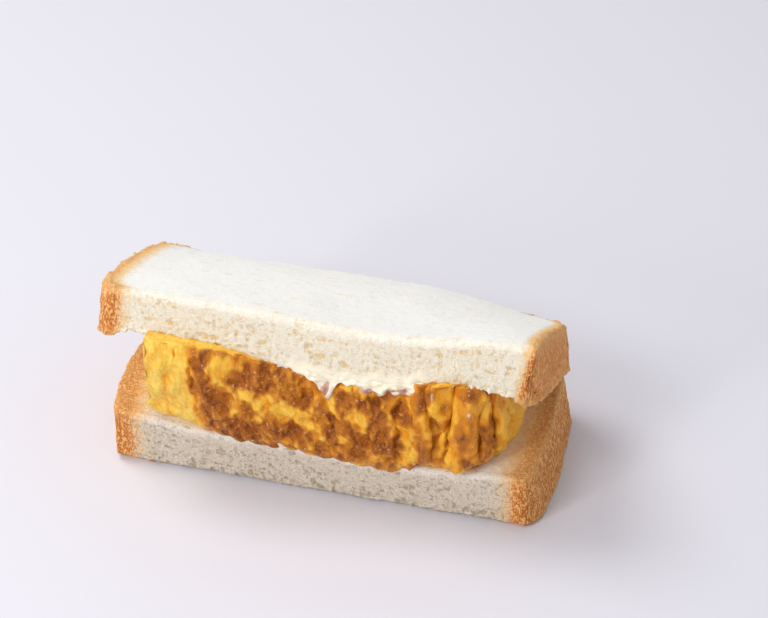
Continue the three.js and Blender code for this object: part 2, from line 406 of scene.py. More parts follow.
def material_named(name, finish, *values):
    """The material of that name. The first time, finish makes it from the values."""
    material = bpy.data.materials.get(name)
    if material is None:
        material = bpy.data.materials.new(name)
        material.use_nodes = True
        finish(Nodes(material.node_tree), *values)
    return material


def dress(nodes, inputs):
    """Sets or joins the shader's named inputs."""
    shader = nodes.tree.nodes["Principled BSDF"]
    for name, value in inputs.items():
        nodes.join(value, shader.inputs[name])


SCATTER_SHARE = 0.3  # of the light, which food scatters below its surface


def dress_food(nodes, colour, roughness, specular, bump, scatter):
    """bump holds the strength, height and pattern of the grain, scatter the reach by colour and in all."""
    strength, distance, height = bump
    normal = nodes.add("ShaderNodeBump", {"Strength": strength, "Distance": distance, "Height": height})
    radius, scale = scatter
    dress(nodes, {
        "Base Color": colour, "Roughness": roughness, "Specular IOR Level": specular, "Normal": normal,
        "Subsurface Weight": SCATTER_SHARE, "Subsurface Radius": radius, "Subsurface Scale": scale * MM})


# Mottling: its size in millimetres and its spread
CRUMB_FINE = (0.45, 2.4)
CRUMB_MEDIUM = (1.6, 2.4)
CRUMB_BROAD = (8.0, 3.0)
CRUST_GRAINS = (0.38, 3.0)
CRUST_FLECKS = (0.9, 3.6)
EGG_FINE = (0.35, 3.0)
EGG_MEDIUM = (1.1, 3.0)
EGG_BROAD = (3.6, 3.0)
SMEAR_STREAKS = (1.6, 2.6)
SMEAR_FINE = (0.6, 1.6)

# Hollows: their size in millimetres and the share of places that hold one
LARGE_PORES = (2.4, 0.5)
MIDDLING_PORES = (1.2, 0.5)
SMALL_PORES = (0.6, 0.7)
# Spots of painted glint on the browned egg
EGG_PAINTED_GLINTS = (0.62, 0.14)

# How a pattern's place is stretched on each axis, so that the pattern shrinks there
PORE_STRETCH = (0.72, 1.0, 1.2)
GRAIN_STRETCH = (1.0, 1.0, 0.42)
PAINTED_GLINT_STRETCH = (0.8, 1.3, 1.0)
STREAK_STRETCH = (1.0, 0.6, 1.0)

# Along the omelette, in millimetres: where its plain left end and its folded right end begin and are full
PLAIN_END = (-30.0, -38.0)
FOLDED_END = (22.0, 34.0)


def bread_finish(nodes, settings, crumb_colour, pore_shade_colour, pore_scale, face_rim_light):
    """Crumb with pores in painted shade, a golden band and a crust with light grains that run through the
    slice.

    face_rim_light is how much lighter the band and the crust are on the sliced faces: painted light where
    the rims catch the light."""
    place, crust_near, toast_near, rim, pore, sliced, coated, torn, lit_end_share = nodes.painted(
        "crust", "toast", "rim", "pore", "sliced", "coat", "torn", "pale")
    fine = nodes.mottle(place, *CRUMB_FINE)
    medium = nodes.mottle(place, *CRUMB_MEDIUM)
    broad = nodes.mottle(place, *CRUMB_BROAD)
    pore_place = nodes.combine("MULTIPLY", place, PORE_STRETCH)
    large, middling = [
        nodes.hollows(pore_place, size * pore_scale, share)
        for size, share in (LARGE_PORES, MIDDLING_PORES)]
    small = nodes.hollows(place, *SMALL_PORES)
    grain_place = nodes.combine("MULTIPLY", place, GRAIN_STRETCH)
    grains = nodes.mottle(grain_place, *CRUST_GRAINS)
    flecks = nodes.mottle(grain_place, *CRUST_FLECKS)

    opened = 1.0 - nodes.math("MAXIMUM", sliced * 0.75, coated)
    clustered = broad.ramp(0.2, 0.8) * 0.7 + 0.3
    pores = large * clustered + middling * 0.75 * clustered + small * 0.25 + pore * 0.7
    density = torn * 0.6 + 0.75
    pores = nodes.math("MINIMUM", pores * density, 1.0) * opened
    woolly = (fine + medium).ramp(1.1, 0.3) * 0.3
    # The sliced faces' colour is partly their own whiter crumb, partly painted light on the brightly lit
    # top
    face = nodes.blend(woolly, settings.lit_face_colour, settings.coat_colour)
    crumb = nodes.blend(sliced, crumb_colour, face)
    # Painted shade in the pores, stronger in torn crumb
    crumb = crumb.covered(pores, pore_shade_colour)
    # Painted shade between the crumb's fine grain, then painted highlights on the tops of that grain
    crumb = crumb.covered(fine.ramp(0.55, 0.1) * (density * 0.24) * opened, pore_shade_colour)
    crumb = crumb.covered(fine.ramp(0.6, 0.95) * 0.6 * opened, settings.lit_face_colour)
    crumb = crumb.covered(coated, settings.coat_colour)

    ragged = medium + fine - 1.0
    fibres = nodes.math("MAXIMUM", grains.ramp(0.5, 0.9), flecks.ramp(0.6, 0.9))
    toast_edge = toast_near + ragged * 0.35
    toasted = toast_edge.ramp(1.15, 0.1) * (1.0 - fibres * 0.25)
    # Painted light on the rims of the upper slice's sliced faces, which catch the light
    painted_face_light = sliced * face_rim_light
    deep_toast = nodes.blend(toast_edge.ramp(0.7, 0.1), settings.toast_colour, settings.crust_colour)
    deep_toast = deep_toast.covered(painted_face_light, settings.face_rim_light_colour)
    golden = crumb.covered(toast_edge.ramp(1.7, 0.4) * sliced * 0.85, settings.faint_toast_colour)
    golden = golden.covered(toasted, deep_toast)
    golden = golden.covered(fibres * toast_edge.ramp(1.6, 0.5) * 0.9, settings.toast_grain_colour)

    crust = nodes.blend(medium.ramp(0.2, 0.9), settings.crust_colour, settings.crust_dark_colour)
    crust = crust.covered(broad * 0.6, settings.crust_colour)
    # Painted light on the crust of the right end, which faces away from the lamps
    crust = crust.covered(lit_end_share, settings.crust_lit_end_colour)
    crust = crust.covered(fibres * 0.85, settings.crust_grain_colour)
    rimmed = (rim + ragged * 1.6).ramp(2.4, 0.0) * (1.0 - sliced * 0.4)
    crust = crust.covered(rimmed * 0.6, settings.rim_colour)
    crust = crust.covered(painted_face_light, settings.face_rim_light_colour)
    crusty = (crust_near + ragged * 0.7).ramp(1.4, 0.5)

    softened = nodes.math("MAXIMUM", sliced * 0.4, coated * 0.85)
    crumb_height = (fine * 0.6 - pores * 0.9) * (1.0 - softened)
    crust_height = grains * 0.8 + fine * 0.4
    height = nodes.add("ShaderNodeMix", {0: crusty, 2: crumb_height, 3: crust_height}, data_type="FLOAT")
    dress_food(
        nodes, golden.covered(crusty, crust), 0.95 - crusty * 0.25 - coated * 0.6, 0.2,
        (1.0, settings.grain_height, height), ((1.0, 0.75, 0.5), 2.0))


def egg_finish(nodes, settings):
    """Moist egg: mottled yellow, with painted shade in its folds, and grainy brown where it was fried."""
    place, browned, hollow, low, wet = nodes.painted("browned", "hollow", "low", "wet")
    fine = nodes.mottle(place, *EGG_FINE)
    medium = nodes.mottle(place, *EGG_MEDIUM)
    broad = nodes.mottle(place, *EGG_BROAD)
    painted_glints = nodes.hollows(nodes.combine("MULTIPLY", place, PAINTED_GLINT_STRETCH), *EGG_PAINTED_GLINTS)

    along = nodes.add("ShaderNodeSeparateXYZ", {0: place}, "X")
    folded = along.ramp(*FOLDED_END)
    paler = (broad * 0.5 + 0.4) * (along.ramp(*PLAIN_END) * 0.5 + 0.5)
    yellow = nodes.blend(paler, settings.egg_colour, settings.egg_pale_and_lit_colour)
    # Painted shade: deeper yellow in the lows between lumps and grain, in creases and holes, and over the
    # folded end, which faces away from the lamps
    shade_between_lumps = nodes.math("MULTIPLY", low * 0.45 + medium.ramp(0.75, 0.0), 0.45, clamp=True)
    for deeper in (folded * 0.4, shade_between_lumps, hollow.ramp(0.0, 0.6)):
        yellow = yellow.covered(deeper, settings.egg_shade_colour)

    grainy = fine + medium
    # The lows between lumps are drawn browner as painted shade
    fried = nodes.math("ADD", browned + (grainy - 1.0) * 0.1, (low - 0.45) * 0.2, clamp=True)
    brown = fried.ramp(0.2, 0.95)
    # Darker brown at random, and in the lows between lumps as painted shade
    dark = (broad * 0.9 + low * 0.2).ramp(0.25, 1.1)
    fried_egg = nodes.blend(dark, settings.brown_colour, settings.brown_dark_and_shade_colour)
    # Lighter on the tops of the grain: partly lighter fried grains, partly painted highlight
    fried_egg = fried_egg.covered(grainy.ramp(1.0, 1.8) * 0.6, settings.brown_light_and_lit_colour)
    # Painted glints: small spots of highlight on the browned egg
    fried_egg = fried_egg.covered(painted_glints * 0.55, settings.painted_glint_colour)
    # Paler specks on the tops of the grain: partly paler curds, partly painted light
    lit_specks = grainy.ramp(0.9, 1.9) * 0.6 * (1.0 - folded * 0.6)
    surface = yellow.covered(fried.ramp(0.0, 0.42) * 0.95, settings.golden_colour)
    surface = surface.covered(lit_specks, settings.egg_pale_and_lit_colour)
    surface = surface.covered(brown, fried_egg)
    # Painted highlights on the folds
    surface = surface.covered(wet * 0.85, settings.painted_highlight_colour)
    # Painted shade: the deepest creases and holes are drawn dark brown
    surface = surface.covered(hollow.ramp(0.45, 1.0) * 0.7, settings.brown_dark_and_shade_colour)

    height = fine * 0.4 + medium * (brown * 0.35 + 0.6)
    dress_food(
        nodes, surface, medium * 0.14 + 0.11, 0.3,
        (1.0, settings.curd_grain, height), ((1.0, 1.0, 0.6), 0.5))


def mayonnaise_finish(nodes, settings):
    """Glossy cream, thin where it coats the crumb, with a blush where brown egg shows through."""
    place, blush, thin = nodes.painted("blush", "thin")
    streaks = nodes.mottle(nodes.combine("MULTIPLY", place, STREAK_STRETCH), *SMEAR_STREAKS)
    fine = nodes.mottle(place, *SMEAR_FINE)
    cream = nodes.blend(streaks, settings.mayonnaise_colour, settings.mayonnaise_deep_colour)
    cream = cream.covered(thin, settings.smear_thin_colour)
    tinted = nodes.math("MULTIPLY", blush, streaks * 0.6 + 0.5, clamp=True)
    dress_food(
        nodes, cream.covered(tinted, settings.blush_colour), thin * 0.5 + 0.14, 0.5,
        (0.5, 0.1 * MM, fine), ((1.0, 0.8, 0.6), 1.5))


def floor_finish(nodes, settings):
    dress(nodes, {"Base Color": settings.floor_colour, "Roughness": 0.6})


# Bread


def slice_plan(across, share, sides):
    """Plan of half a slice: x, depth behind the cut, and the way in from its left, right and back crust."""
    depth = share * SLICE_DEPTH
    turn = np.maximum(0, CORNER_RADIUS - (SLICE_DEPTH - depth))
    inset = CORNER_RADIUS - np.sqrt(CORNER_RADIUS**2 - turn**2)
    kept = 1 - sides["lost"] * smooth(SLICE_DEPTH / 2.5, SLICE_DEPTH, depth)
    left = -SLICE_END - kept * sides["left"] * (1 - np.exp(-depth / sides["left_onset"])) + inset
    right = SLICE_END + kept * sides["right"] * (1 - np.exp(-depth / sides["right_onset"])) - inset
    bulge = BACK_BULGE * share**2 * (1 - across**2)
    x = lerp(left, right, (across + 1) / 2)
    return x, depth + bulge, np.stack([x - left, right - x, (1 - share) * SLICE_DEPTH], -1)


def slice_points(piece, sides, thickness, rounding_top, rounding_foot):
    """Each point of a slice: x, depth, share of the thickness, and its way in from crust and faces."""
    across, back, up = cell_shares(piece)
    share_back = drawn_to_ends(back, 0.5)
    share_up = drawn_to_ends(up, 0.6)
    x, depth, gaps = slice_plan(across, share_back, sides)
    gap = np.minimum(share_up, 1 - share_up) * thickness
    crust_in = quarter_round(gap, CRUST_ROUNDING)
    cut_in = quarter_round(gap, np.where(share_up > 0.5, rounding_top, rounding_foot))
    behind = 1 - np.exp(-depth / sides["right_onset"])
    splay = lerp(sides["splay_at_cut"], sides["splay_behind"], behind) * np.maximum(0, across) ** 3
    x = x - crust_in * across**5 + splay * (share_up - 0.5)
    depth = depth - crust_in * share_back**4 + cut_in * (1 - share_back) ** 6
    return x, depth, share_up, gaps, gap


# How the filling presses into the lower slice: depth, span along the cut, and where it fades behind the cut
PRESS = 1.6
PRESS_SPAN = (-44.0, 46.0)
PRESS_FADE = 8.0
PRESS_SWELLS = [(15.0, 12.0, 1.3)]
PRESS_BEHIND = (6.0, 46.0)
BACK_RISE_BEHIND = (20.0, 55.0)


def lower_slice_top(x, y):
    press = PRESS * band(x, *PRESS_SPAN, PRESS_FADE) + swells(x, PRESS_SWELLS)
    behind = y - CUT_Y
    back_rise = LOWER_BACK_RISE * smooth(*BACK_RISE_BEHIND, behind)
    return LOWER_THICKNESS + back_rise - press * (1 - smooth(*PRESS_BEHIND, behind))


def on_arc(x, depth, height):
    """A place on the leaning upper slice: depth along its arc from the cut, height above its lower face."""
    slope = FRONT_SLOPE + depth / ARC_RADIUS
    y = UPPER_FRONT_Y + ARC_RADIUS * (np.sin(slope) - math.sin(FRONT_SLOPE)) + height * np.sin(slope)
    z = UPPER_FRONT_HEIGHT + ARC_RADIUS * (np.cos(slope) - math.cos(FRONT_SLOPE)) + height * np.cos(slope)
    return at(x, y, z)


UNDERSIDE_SWELLS = [(-48.0, 16.0, 3.1), (-28.0, 10.0, 1.6), (8.0, 18.0, -2.2), (43.0, 14.0, 2.5)]
UNDERSIDE_DROOP = 1.4
UNDERSIDE_DROOP_SPAN = (55.0, 60.0)
UNDERSIDE_EVENED = 40.0  # depth at which the underside's swells are gone


def upper_slice_underside(x, depth):
    wave = swells(x, UNDERSIDE_SWELLS) - UNDERSIDE_DROOP * smooth(*UNDERSIDE_DROOP_SPAN, np.abs(x))
    return wave * fading(depth, UNDERSIDE_EVENED)


# Upper face of the upper slice at the cut and at the back: height, then rises and where they come in
FRONT_TOP = 14.7
FRONT_TOP_SWELLS = [(14.0, 20.0, -1.4)]
FRONT_RIGHT_RISE = 1.9
FRONT_RIGHT_SPAN = (28.0, 54.0)
BACK_TOP = 17.4
BACK_LEFT_CURL = 1.4
BACK_LEFT_SPAN = (50.0, 62.0)
BACK_RIGHT_DROP = 4.0
BACK_RIGHT_SPAN = (15.0, 60.0)
FRONT_TO_BACK = (2.0, 52.0)


def upper_slice_top(x, depth):
    front = FRONT_TOP + swells(x, FRONT_TOP_SWELLS) + FRONT_RIGHT_RISE * smooth(*FRONT_RIGHT_SPAN, x)
    curl = BACK_LEFT_CURL * smooth(*BACK_LEFT_SPAN, -x)
    back = BACK_TOP + curl - BACK_RIGHT_DROP * smooth(*BACK_RIGHT_SPAN, x)
    return lerp(front, back, smooth(*FRONT_TO_BACK, depth))


def crumb_relief(place, crumb, coarse, sliced):
    """Height of torn crumb over a slice's faces, and how deep in a pore each point lies.

    crumb is 1 away from the crust, coarse 0 for fine crumb and 1 for torn, sliced 1 on the sliced faces."""
    warped = place + 0.5 * clouds(place, 1.7, 7.0)[:, None] * np.array([1.0, 1.0, -1.0])
    clusters = smooth(-0.3, 0.35, clouds(place, 6.0, 3.0) + 0.25 * coarse)
    large = smooth(0.20, 0.48, clouds(warped, 1.45, 1.0)) * clusters
    small = smooth(0.10, 0.40, clouds(warped, 0.8, 5.0))
    pore = clamp01(large + 0.45 * small) * crumb * lerp(1, 0.15, sliced)
    lumps = 0.35 * clouds(place, 14.0, 2.0) + lerp(0.10, 0.24, coarse) * clouds(place, 2.6, 9.0)
    torn = lerp(0.04, 0.16, coarse) * clouds(place, 1.1, 12.0) - lerp(0.16, 0.36, coarse) * pore
    return lumps + torn * crumb, pore * lerp(0.6, 1.0, coarse)


def crust_relief(place, on_crust, gap, fuzz):
    """Wrinkles and dents of the crust, with a fuzz of crumbs along its rims."""
    grain = place * np.array([1.0, 1.0, 0.3])
    rough = 0.18 * clouds(grain, 1.1, 6.0) + 0.30 * clouds(place, 5.0, 8.0) + 0.20 * clouds(place, 2.2, 3.0)
    fringe = fuzz * (clouds(place, 1.3, 11.0) + 0.5 * clouds(place, 0.7, 2.0)) * (1 - smooth(0.2, 2.0, gap))
    return on_crust * (rough + fringe)


SLICE_CELLS = ((60, 5), (84,), (42,))
RIM_CRUST = 1.6  # added to the way in from the crust along the back edges, where the crumb reaches the rim
RIM_TOAST = 2.0
ROLLED_REACH = 4.0  # mm below the upper face, down to which the cut is smooth as if sliced
TORN_DEPTH = 4.0  # mm behind the cut, over which its torn crumb ends
FRAYED_HEIGHT = 1.6
COAT_SOFTENING = 0.85
COAT_THICKNESS = 0.3
COAT_SPAN = (-7.0, 33.0)
COAT_HEIGHT = 4.4
COAT_WAVES = 3.0
LOWER_COAT_SPAN = (-13.0, 15.0)
LOWER_COAT_DROP = 1.4


def make_slice(name, sides, thickness, rounding, coarse, ragged, place_on_part, coat_at):
    """A slice as a cut cube. coarse gives the crumb's coarseness and ragged the frayed edge of its cut.

    coat_at gives how much mayonnaise lies on the cut at x and a height above the slice's lower face."""
    piece = cube_in_cells(name, SLICE_CELLS)
    x, depth, share_up, gaps, gap = slice_points(piece, sides, thickness, *rounding)
    crust = (gaps / np.array(sides["crust"])).min(-1)
    nearest_back = smooth(-1.0, 7.0, gaps[:, :BACK_SIDE].min(-1) - gaps[:, BACK_SIDE])
    bare_rim = nearest_back * (1 - smooth(0.4, 1.8, gap))
    crust = crust + RIM_CRUST * bare_rim
    reach = lerp(1.0, sides["toast_behind"], smooth(0, 8, depth))
    toast = (gaps / np.array(sides["toast"])).min(-1) / reach + RIM_TOAST * bare_rim
    points, low, high = place_on_part(x, depth, share_up)
    write_points(piece, points)
    place = at(x, depth, lerp(low, high, share_up))
    crumb = smooth(0.8, 1.5, crust)
    # Near its upper edge the cut takes the sliced faces' colour, which is partly painted light
    rolled = 0.5 * smooth(ROLLED_REACH, 0.5, (1 - share_up) * thickness)
    on_face = fading(gap, 0.5) * smooth(0.3, 3.0, depth)
    sliced = np.maximum(on_face, rolled)
    crust = crust * lerp(1, sides["thinned"], on_face)
    toast = toast * lerp(1, sides["toast_thinned"], on_face)
    coarseness = clamp01(coarse(share_up) * fading(depth, TORN_DEPTH) + 0.1)
    relief, pore = crumb_relief(place, crumb, coarseness, sliced)
    relief = relief + crust_relief(place, 1 - smooth(0.25, 0.9, crust), gap, sides["fuzz"])
    crease = line_distance(depth + 0.8 * clouds(place, 2.0, 4.0), share_up * thickness, END_CREASE)[0]
    relief = relief - sides["crease"] * np.exp(-crease / 0.6) * smooth(2.0, 0.5, gaps[:, 1])
    edge = fading(np.where(share_up < 0.5, gap, thickness), FRAYED_HEIGHT) * fading(depth, TORN_DEPTH)
    relief = relief + ragged * edge * crumb * (clouds(place, 1.9, 14.0) + 0.9 * clouds(place, 1.0, 15.0))
    coat = coat_at(x, share_up * (high - low)) * (1 - smooth(0.5, 2.5, depth))
    relief = relief * (1 - COAT_SOFTENING * coat) + COAT_THICKNESS * coat * (1 + clouds(place, 2.4, 17.0))
    add_relief(piece, points, relief)
    # Painted light: the right end's crust, which faces away from the lamps, is drawn lighter
    pale = sides["end_light_share"] * smooth(50, 56, x) * smooth(0.5, 3.0, depth)
    paint(
        piece, place, crust=crust, toast=toast, rim=gap, pore=pore, sliced=sliced, coat=coat,
        torn=coarseness, pale=pale)
    return piece


def upper_coat(x, height):
    """Mayonnaise that soaks the upper slice's cut near its lower edge."""
    top = COAT_HEIGHT + COAT_WAVES * clouds(at(x, 0, 0), 4.0, 2.0)
    return smooth(top, top - 3.0, height) * band(x, *COAT_SPAN, 4.0)


def lower_coat(x, height):
    """Mayonnaise that soaks the lower slice's cut near its upper edge."""
    foot = lower_slice_top(x, CUT_Y) - LOWER_COAT_DROP - COAT_WAVES * clouds(at(x, 0, 0), 4.0, 5.0)
    return 0.8 * smooth(foot - 0.5, foot + 1.0, height) * band(x, *LOWER_COAT_SPAN, 3.0)


# Loose crumbs by the cut's rounded foot: x, way out from the plane of the cut, size
LOOSE_CRUMBS = [(-50.2, -1.5, 0.6), (-47.6, -1.6, 0.3)]
CRUMB_SHAPE = (1.3, 0.9, 0.7)


def make_crumb(x, out, size):
    """A small loose crumb of crust that lies by the foot of the slice."""
    piece = add_ball(14, 10)
    ball = read_points(piece)
    ball = ball * (1 + 0.8 * clouds(ball, 0.9, x))[:, None] * np.array(CRUMB_SHAPE) * size
    ball[:, 2] -= ball[:, 2].min()
    points = ball + np.array([x, CUT_Y - out, 0.0])
    write_points(piece, points)
    none = np.zeros(len(points))
    paint(
        piece, points, crust=none + 0.9, toast=none + 0.3, rim=none + 3.0, pore=none, sliced=none,
        coat=none, torn=none, pale=none)
    return piece


def place_lower(x, depth, share):
    """Points of the lower slice, with the heights of its lower and upper face."""
    foot = LOWER_CUT_ROUNDING * fading(share, 0.12) * fading(depth, 8)
    y = CUT_Y + depth + foot
    top = lower_slice_top(x, y)
    return at(x, y, share * top), 0 * top, top


def place_upper(x, depth, share):
    """Points of the upper slice, with the heights of its lower and upper face."""
    low = upper_slice_underside(x, depth)
    high = upper_slice_top(x, depth)
    return on_arc(x, depth, lerp(low, high, share)), low, high


# Omelette

# Creases: place along the outline, lean, depth, width, span of height
CREASES = [
    (26.0, 1.5, 3.0, 1.6, -0.1, 1.1), (59.5, 0.0, 3.6, 2.0, -0.1, 1.1),
]
CREASE_FADE = 0.12
CREASE_SHARE = 0.3  # the rest of a crease is cut by the sharp folds

# Lobes: place along the outline, lean, rise, width, height of the middle, tallness
LOBES = [
    (-44.0, 1.0, 0.9, 4.0, 0.5, 0.8), (-29.0, -3.0, 1.1, 5.0, 0.35, 0.5), (-14.0, 4.0, 1.3, 6.0, 0.6, 0.5),
    (-1.0, -3.0, 1.0, 5.0, 0.3, 0.45), (9.0, 2.0, 1.4, 5.0, 0.65, 0.5), (19.0, -3.0, 1.6, 5.0, 0.35, 0.6),
    (65.0, 0.0, 1.8, 4.0, 0.6, 0.5),
]
SIDE_SWELL = 1.6
RIPPLE = 0.55
END_SPAN = (29.0, 58.0)  # of the round end, which lies back behind its folds
END_RECESS = 2.4
END_WAVE = 0.9

# Folds of the round end, from the top to the foot of each: place along the outline, share of the height,
# half width, half thickness and how far the middle stands out; then how blunt the fold's ends are
END_FOLDS = [
    ([(30.6, 1.00, 2.4, 1.8, 0.4), (30.9, 0.86, 2.6, 2.0, 0.8), (30.6, 0.66, 2.0, 1.4, 0.2)], 3.0),
    ([(31.2, 0.80, 2.0, 1.4, 0.2), (30.6, 0.58, 2.7, 2.2, 0.6), (31.6, 0.36, 2.7, 1.9, 0.9),
      (31.2, 0.12, 2.7, 2.1, 0.9)], 3.0),
    ([(36.1, 0.99, 3.9, 2.2, 1.0), (36.4, 0.86, 3.6, 2.2, 1.2), (36.8, 0.66, 2.2, 1.6, 0.6),
      (37.0, 0.42, 0.9, 0.8, -0.6)], 8.0),
    ([(44.8, 0.99, 4.9, 2.6, 1.0), (45.0, 0.88, 4.9, 2.8, 1.5), (43.6, 0.68, 3.5, 2.2, 0.8),
      (42.4, 0.48, 3.6, 2.6, 1.5), (42.9, 0.30, 3.0, 2.0, 1.1), (42.2, 0.12, 3.1, 2.3, 1.5)], 8.0),
    ([(50.0, 0.88, 2.0, 1.2, 0.2), (48.8, 0.60, 2.6, 2.0, 0.5), (49.6, 0.40, 2.5, 1.9, 0.9),
      (48.8, 0.18, 2.4, 1.8, 0.8)], 3.0),
    ([(54.6, 0.99, 3.2, 2.0, 0.0), (54.0, 0.74, 3.0, 2.1, 0.6), (55.0, 0.50, 2.8, 2.0, 0.7),
      (53.8, 0.24, 2.6, 1.8, 0.6)], 4.0),
    ([(60.6, 0.82, 2.8, 1.6, 0.6), (61.2, 0.62, 3.2, 2.2, 0.8), (61.0, 0.42, 2.4, 1.6, 0.6)], 2.5),
    ([(39.4, 0.34, 1.6, 1.0, -0.2), (39.4, 0.14, 1.9, 1.5, 0.8)], 2.0),
    ([(37.2, 0.52, 0.9, 0.8, -0.4), (37.0, 0.30, 1.3, 1.0, 0.0)], 2.0),
    ([(42.4, 0.26, 1.9, 1.4, 0.8), (42.4, 0.08, 1.7, 1.5, 1.2)], 2.0),
    ([(45.2, 0.32, 1.7, 1.4, 0.8), (45.2, 0.14, 1.6, 1.4, 1.1)], 2.0),
    ([(28.0, 0.34, 1.7, 1.1, 0.3), (28.2, 0.08, 1.7, 1.3, 0.6)], 2.0),
]

# Sharp folds: points as place along the outline and share of the height, then depth, width, and how far
# the side on the left of the line stands in front of the other
FOLDS = [
    ([(24.9, 0.80), (24.2, 0.62), (25.2, 0.48), (24.6, 0.30), (25.4, 0.12)], 1.4, 0.8, 0.3),
    ([(18.7, 0.86), (17.8, 0.69), (16.4, 0.45), (15.0, 0.26)], 1.1, 1.2, 0.2),
    ([(5.1, 0.59), (6.2, 0.40), (6.6, 0.25)], 0.9, 1.1, 0.0),
    ([(-41.5, 0.68), (-43.4, 0.4), (-43.9, 0.1)], 0.5, 1.2, 0.0),
    ([(-34.7, 0.80), (-34.5, 0.55), (-34.3, 0.30)], 0.9, 1.2, -0.3),
    ([(-12.6, 0.62), (-13.6, 0.54)], 0.9, 0.6, 0.0),
    ([(-10.4, 0.80), (-10.8, 0.74)], 0.6, 0.5, 0.0),
]
FOLD_REACH = 2.6  # mm over which a fold's front side falls back

# Holes and slits: place along, height, half width, half height, depth, in millimetres but for the height
HOLES = [
    (0.2, 0.92, 0.5, 0.45, 1.0), (11.2, 0.92, 0.45, 0.45, 0.9), (-1.8, 0.64, 0.4, 0.4, 0.7),
    (-38.8, 0.91, 0.3, 0.9, 0.9), (-12.0, 0.59, 0.5, 0.7, 0.9), (22.0, 0.2, 0.7, 0.3, 0.5),
    (37.9, 0.50, 1.6, 2.2, 1.5),
]

# Fried patches: place along, height, half width in millimetres, half height as a share, strength
FRIED = [
    (-31.7, 0.83, 2.6, 0.19, 0.9), (-28.0, 0.51, 5.4, 0.17, 1.0), (-22.7, 0.19, 9.6, 0.20, 1.0),
    (-7.0, 0.30, 7.6, 0.15, 1.0), (-16.5, 0.84, 6.6, 0.15, 1.0), (-4.8, 0.74, 5.0, 0.10, 0.8),
    (-7.3, 0.93, 3.4, 0.07, 0.55), (3.4, 0.60, 3.0, 0.10, 0.5), (10.4, 0.36, 8.2, 0.30, 0.72),
    (12.0, 0.82, 6.0, 0.09, 0.72), (22.3, 0.90, 3.4, 0.06, 0.85), (24.8, 0.71, 2.3, 0.11, 0.75),
    (17.5, 0.62, 3.0, 0.16, 0.75), (21.8, 0.36, 3.4, 0.20, 1.0), (24.4, 0.35, 1.5, 0.18, 0.9),
    (26.1, 0.67, 2.0, 0.14, 0.8), (31.3, 0.88, 2.6, 0.14, 0.8), (31.5, 0.28, 2.8, 0.24, 0.55),
    (36.7, 0.60, 2.6, 0.05, 0.5), (43.0, 0.94, 2.4, 0.05, 0.65), (50.0, 0.91, 2.4, 0.09, 0.5),
    (42.5, 0.55, 2.4, 0.09, 0.65), (44.5, 0.36, 2.6, 0.12, 0.45), (49.3, 0.42, 2.1, 0.25, 0.7),
    (43.7, 0.20, 2.2, 0.08, 0.75), (-15.0, 0.03, 12.0, 0.05, 0.8), (5.0, 0.06, 8.0, 0.06, 0.7),
]

# Patches that stayed yellow, in the same terms
PALE = [
    (-17.4, 0.65, 2.6, 0.11, 1.0), (-7.4, 0.56, 6.4, 0.12, 1.0), (10.6, 0.93, 3.0, 0.05, 0.9),
    (-25.5, 0.86, 3.2, 0.12, 1.0), (1.2, 0.38, 1.8, 0.12, 0.9), (14.0, 0.56, 2.7, 0.12, 1.0),
    (24.9, 0.54, 1.6, 0.07, 0.7), (27.2, 0.33, 2.4, 0.26, 0.9), (25.9, 0.11, 2.6, 0.10, 0.7),
    (36.3, 0.86, 2.1, 0.18, 0.6), (39.4, 0.34, 1.6, 0.14, 1.0), (42.0, 0.82, 2.4, 0.12, 0.6),
    (47.6, 0.80, 2.2, 0.14, 0.7), (44.8, 0.08, 3.0, 0.07, 0.6), (54.0, 0.60, 2.2, 0.38, 0.9),
    (9.5, 0.34, 1.6, 0.10, 0.7), (7.6, 0.66, 2.0, 0.07, 0.5),
]

# Painted highlights: white spots where the lamps would glint on the wet egg, in the same terms
PAINTED_HIGHLIGHTS = [
    (43.9, 0.71, 0.6, 0.02, 1.0), (44.7, 0.67, 0.35, 0.015, 1.0), (34.4, 0.92, 0.4, 0.035, 0.6),
]

# Where the omelette's side stands, and how far it keeps from bread and mayonnaise
TOP_FRONT_LEFT = -35.5
TOP_FRONT = -31.4
FOLDED_LEAN = 2.4
FOOT_FRONT_LEFT = -24.6
FOOT_FRONT = -30.6
LEAN_FADE = 26.0
LAYER_ROOM = 1.4
END_HOLLOW = 0.8
EDGE_ROUNDING = 1.6
EDGE_SHARE = 0.14  # of the height, at the top and at the foot, over which the side's edges are rounded
MAYONNAISE_LEFT = -34.0
MAYONNAISE_RIGHT = 39.0
TOUCH = -1.1  # below zero, because egg and bread press into each other at the cut side


def line_distance(along, high, points):
    """Distance to a folded line, and its side: 1 to the right of its direction, -1 to the left."""
    nearest = np.full(along.shape, np.inf)
    side = np.zeros(along.shape)
    for (a0, h0), (a1, h1) in zip(points, points[1:]):
        run, rise = a1 - a0, h1 - h0
        t = clamp01(((along - a0) * run + (high - h0) * rise) / (run * run + rise * rise))
        off_along, off_high = along - (a0 + t * run), high - (h0 + t * rise)
        distance = np.hypot(off_along, off_high)
        closer = distance < nearest
        nearest = np.where(closer, distance, nearest)
        side = np.where(closer, np.sign(off_along * rise - off_high * run), side)
    return nearest, side


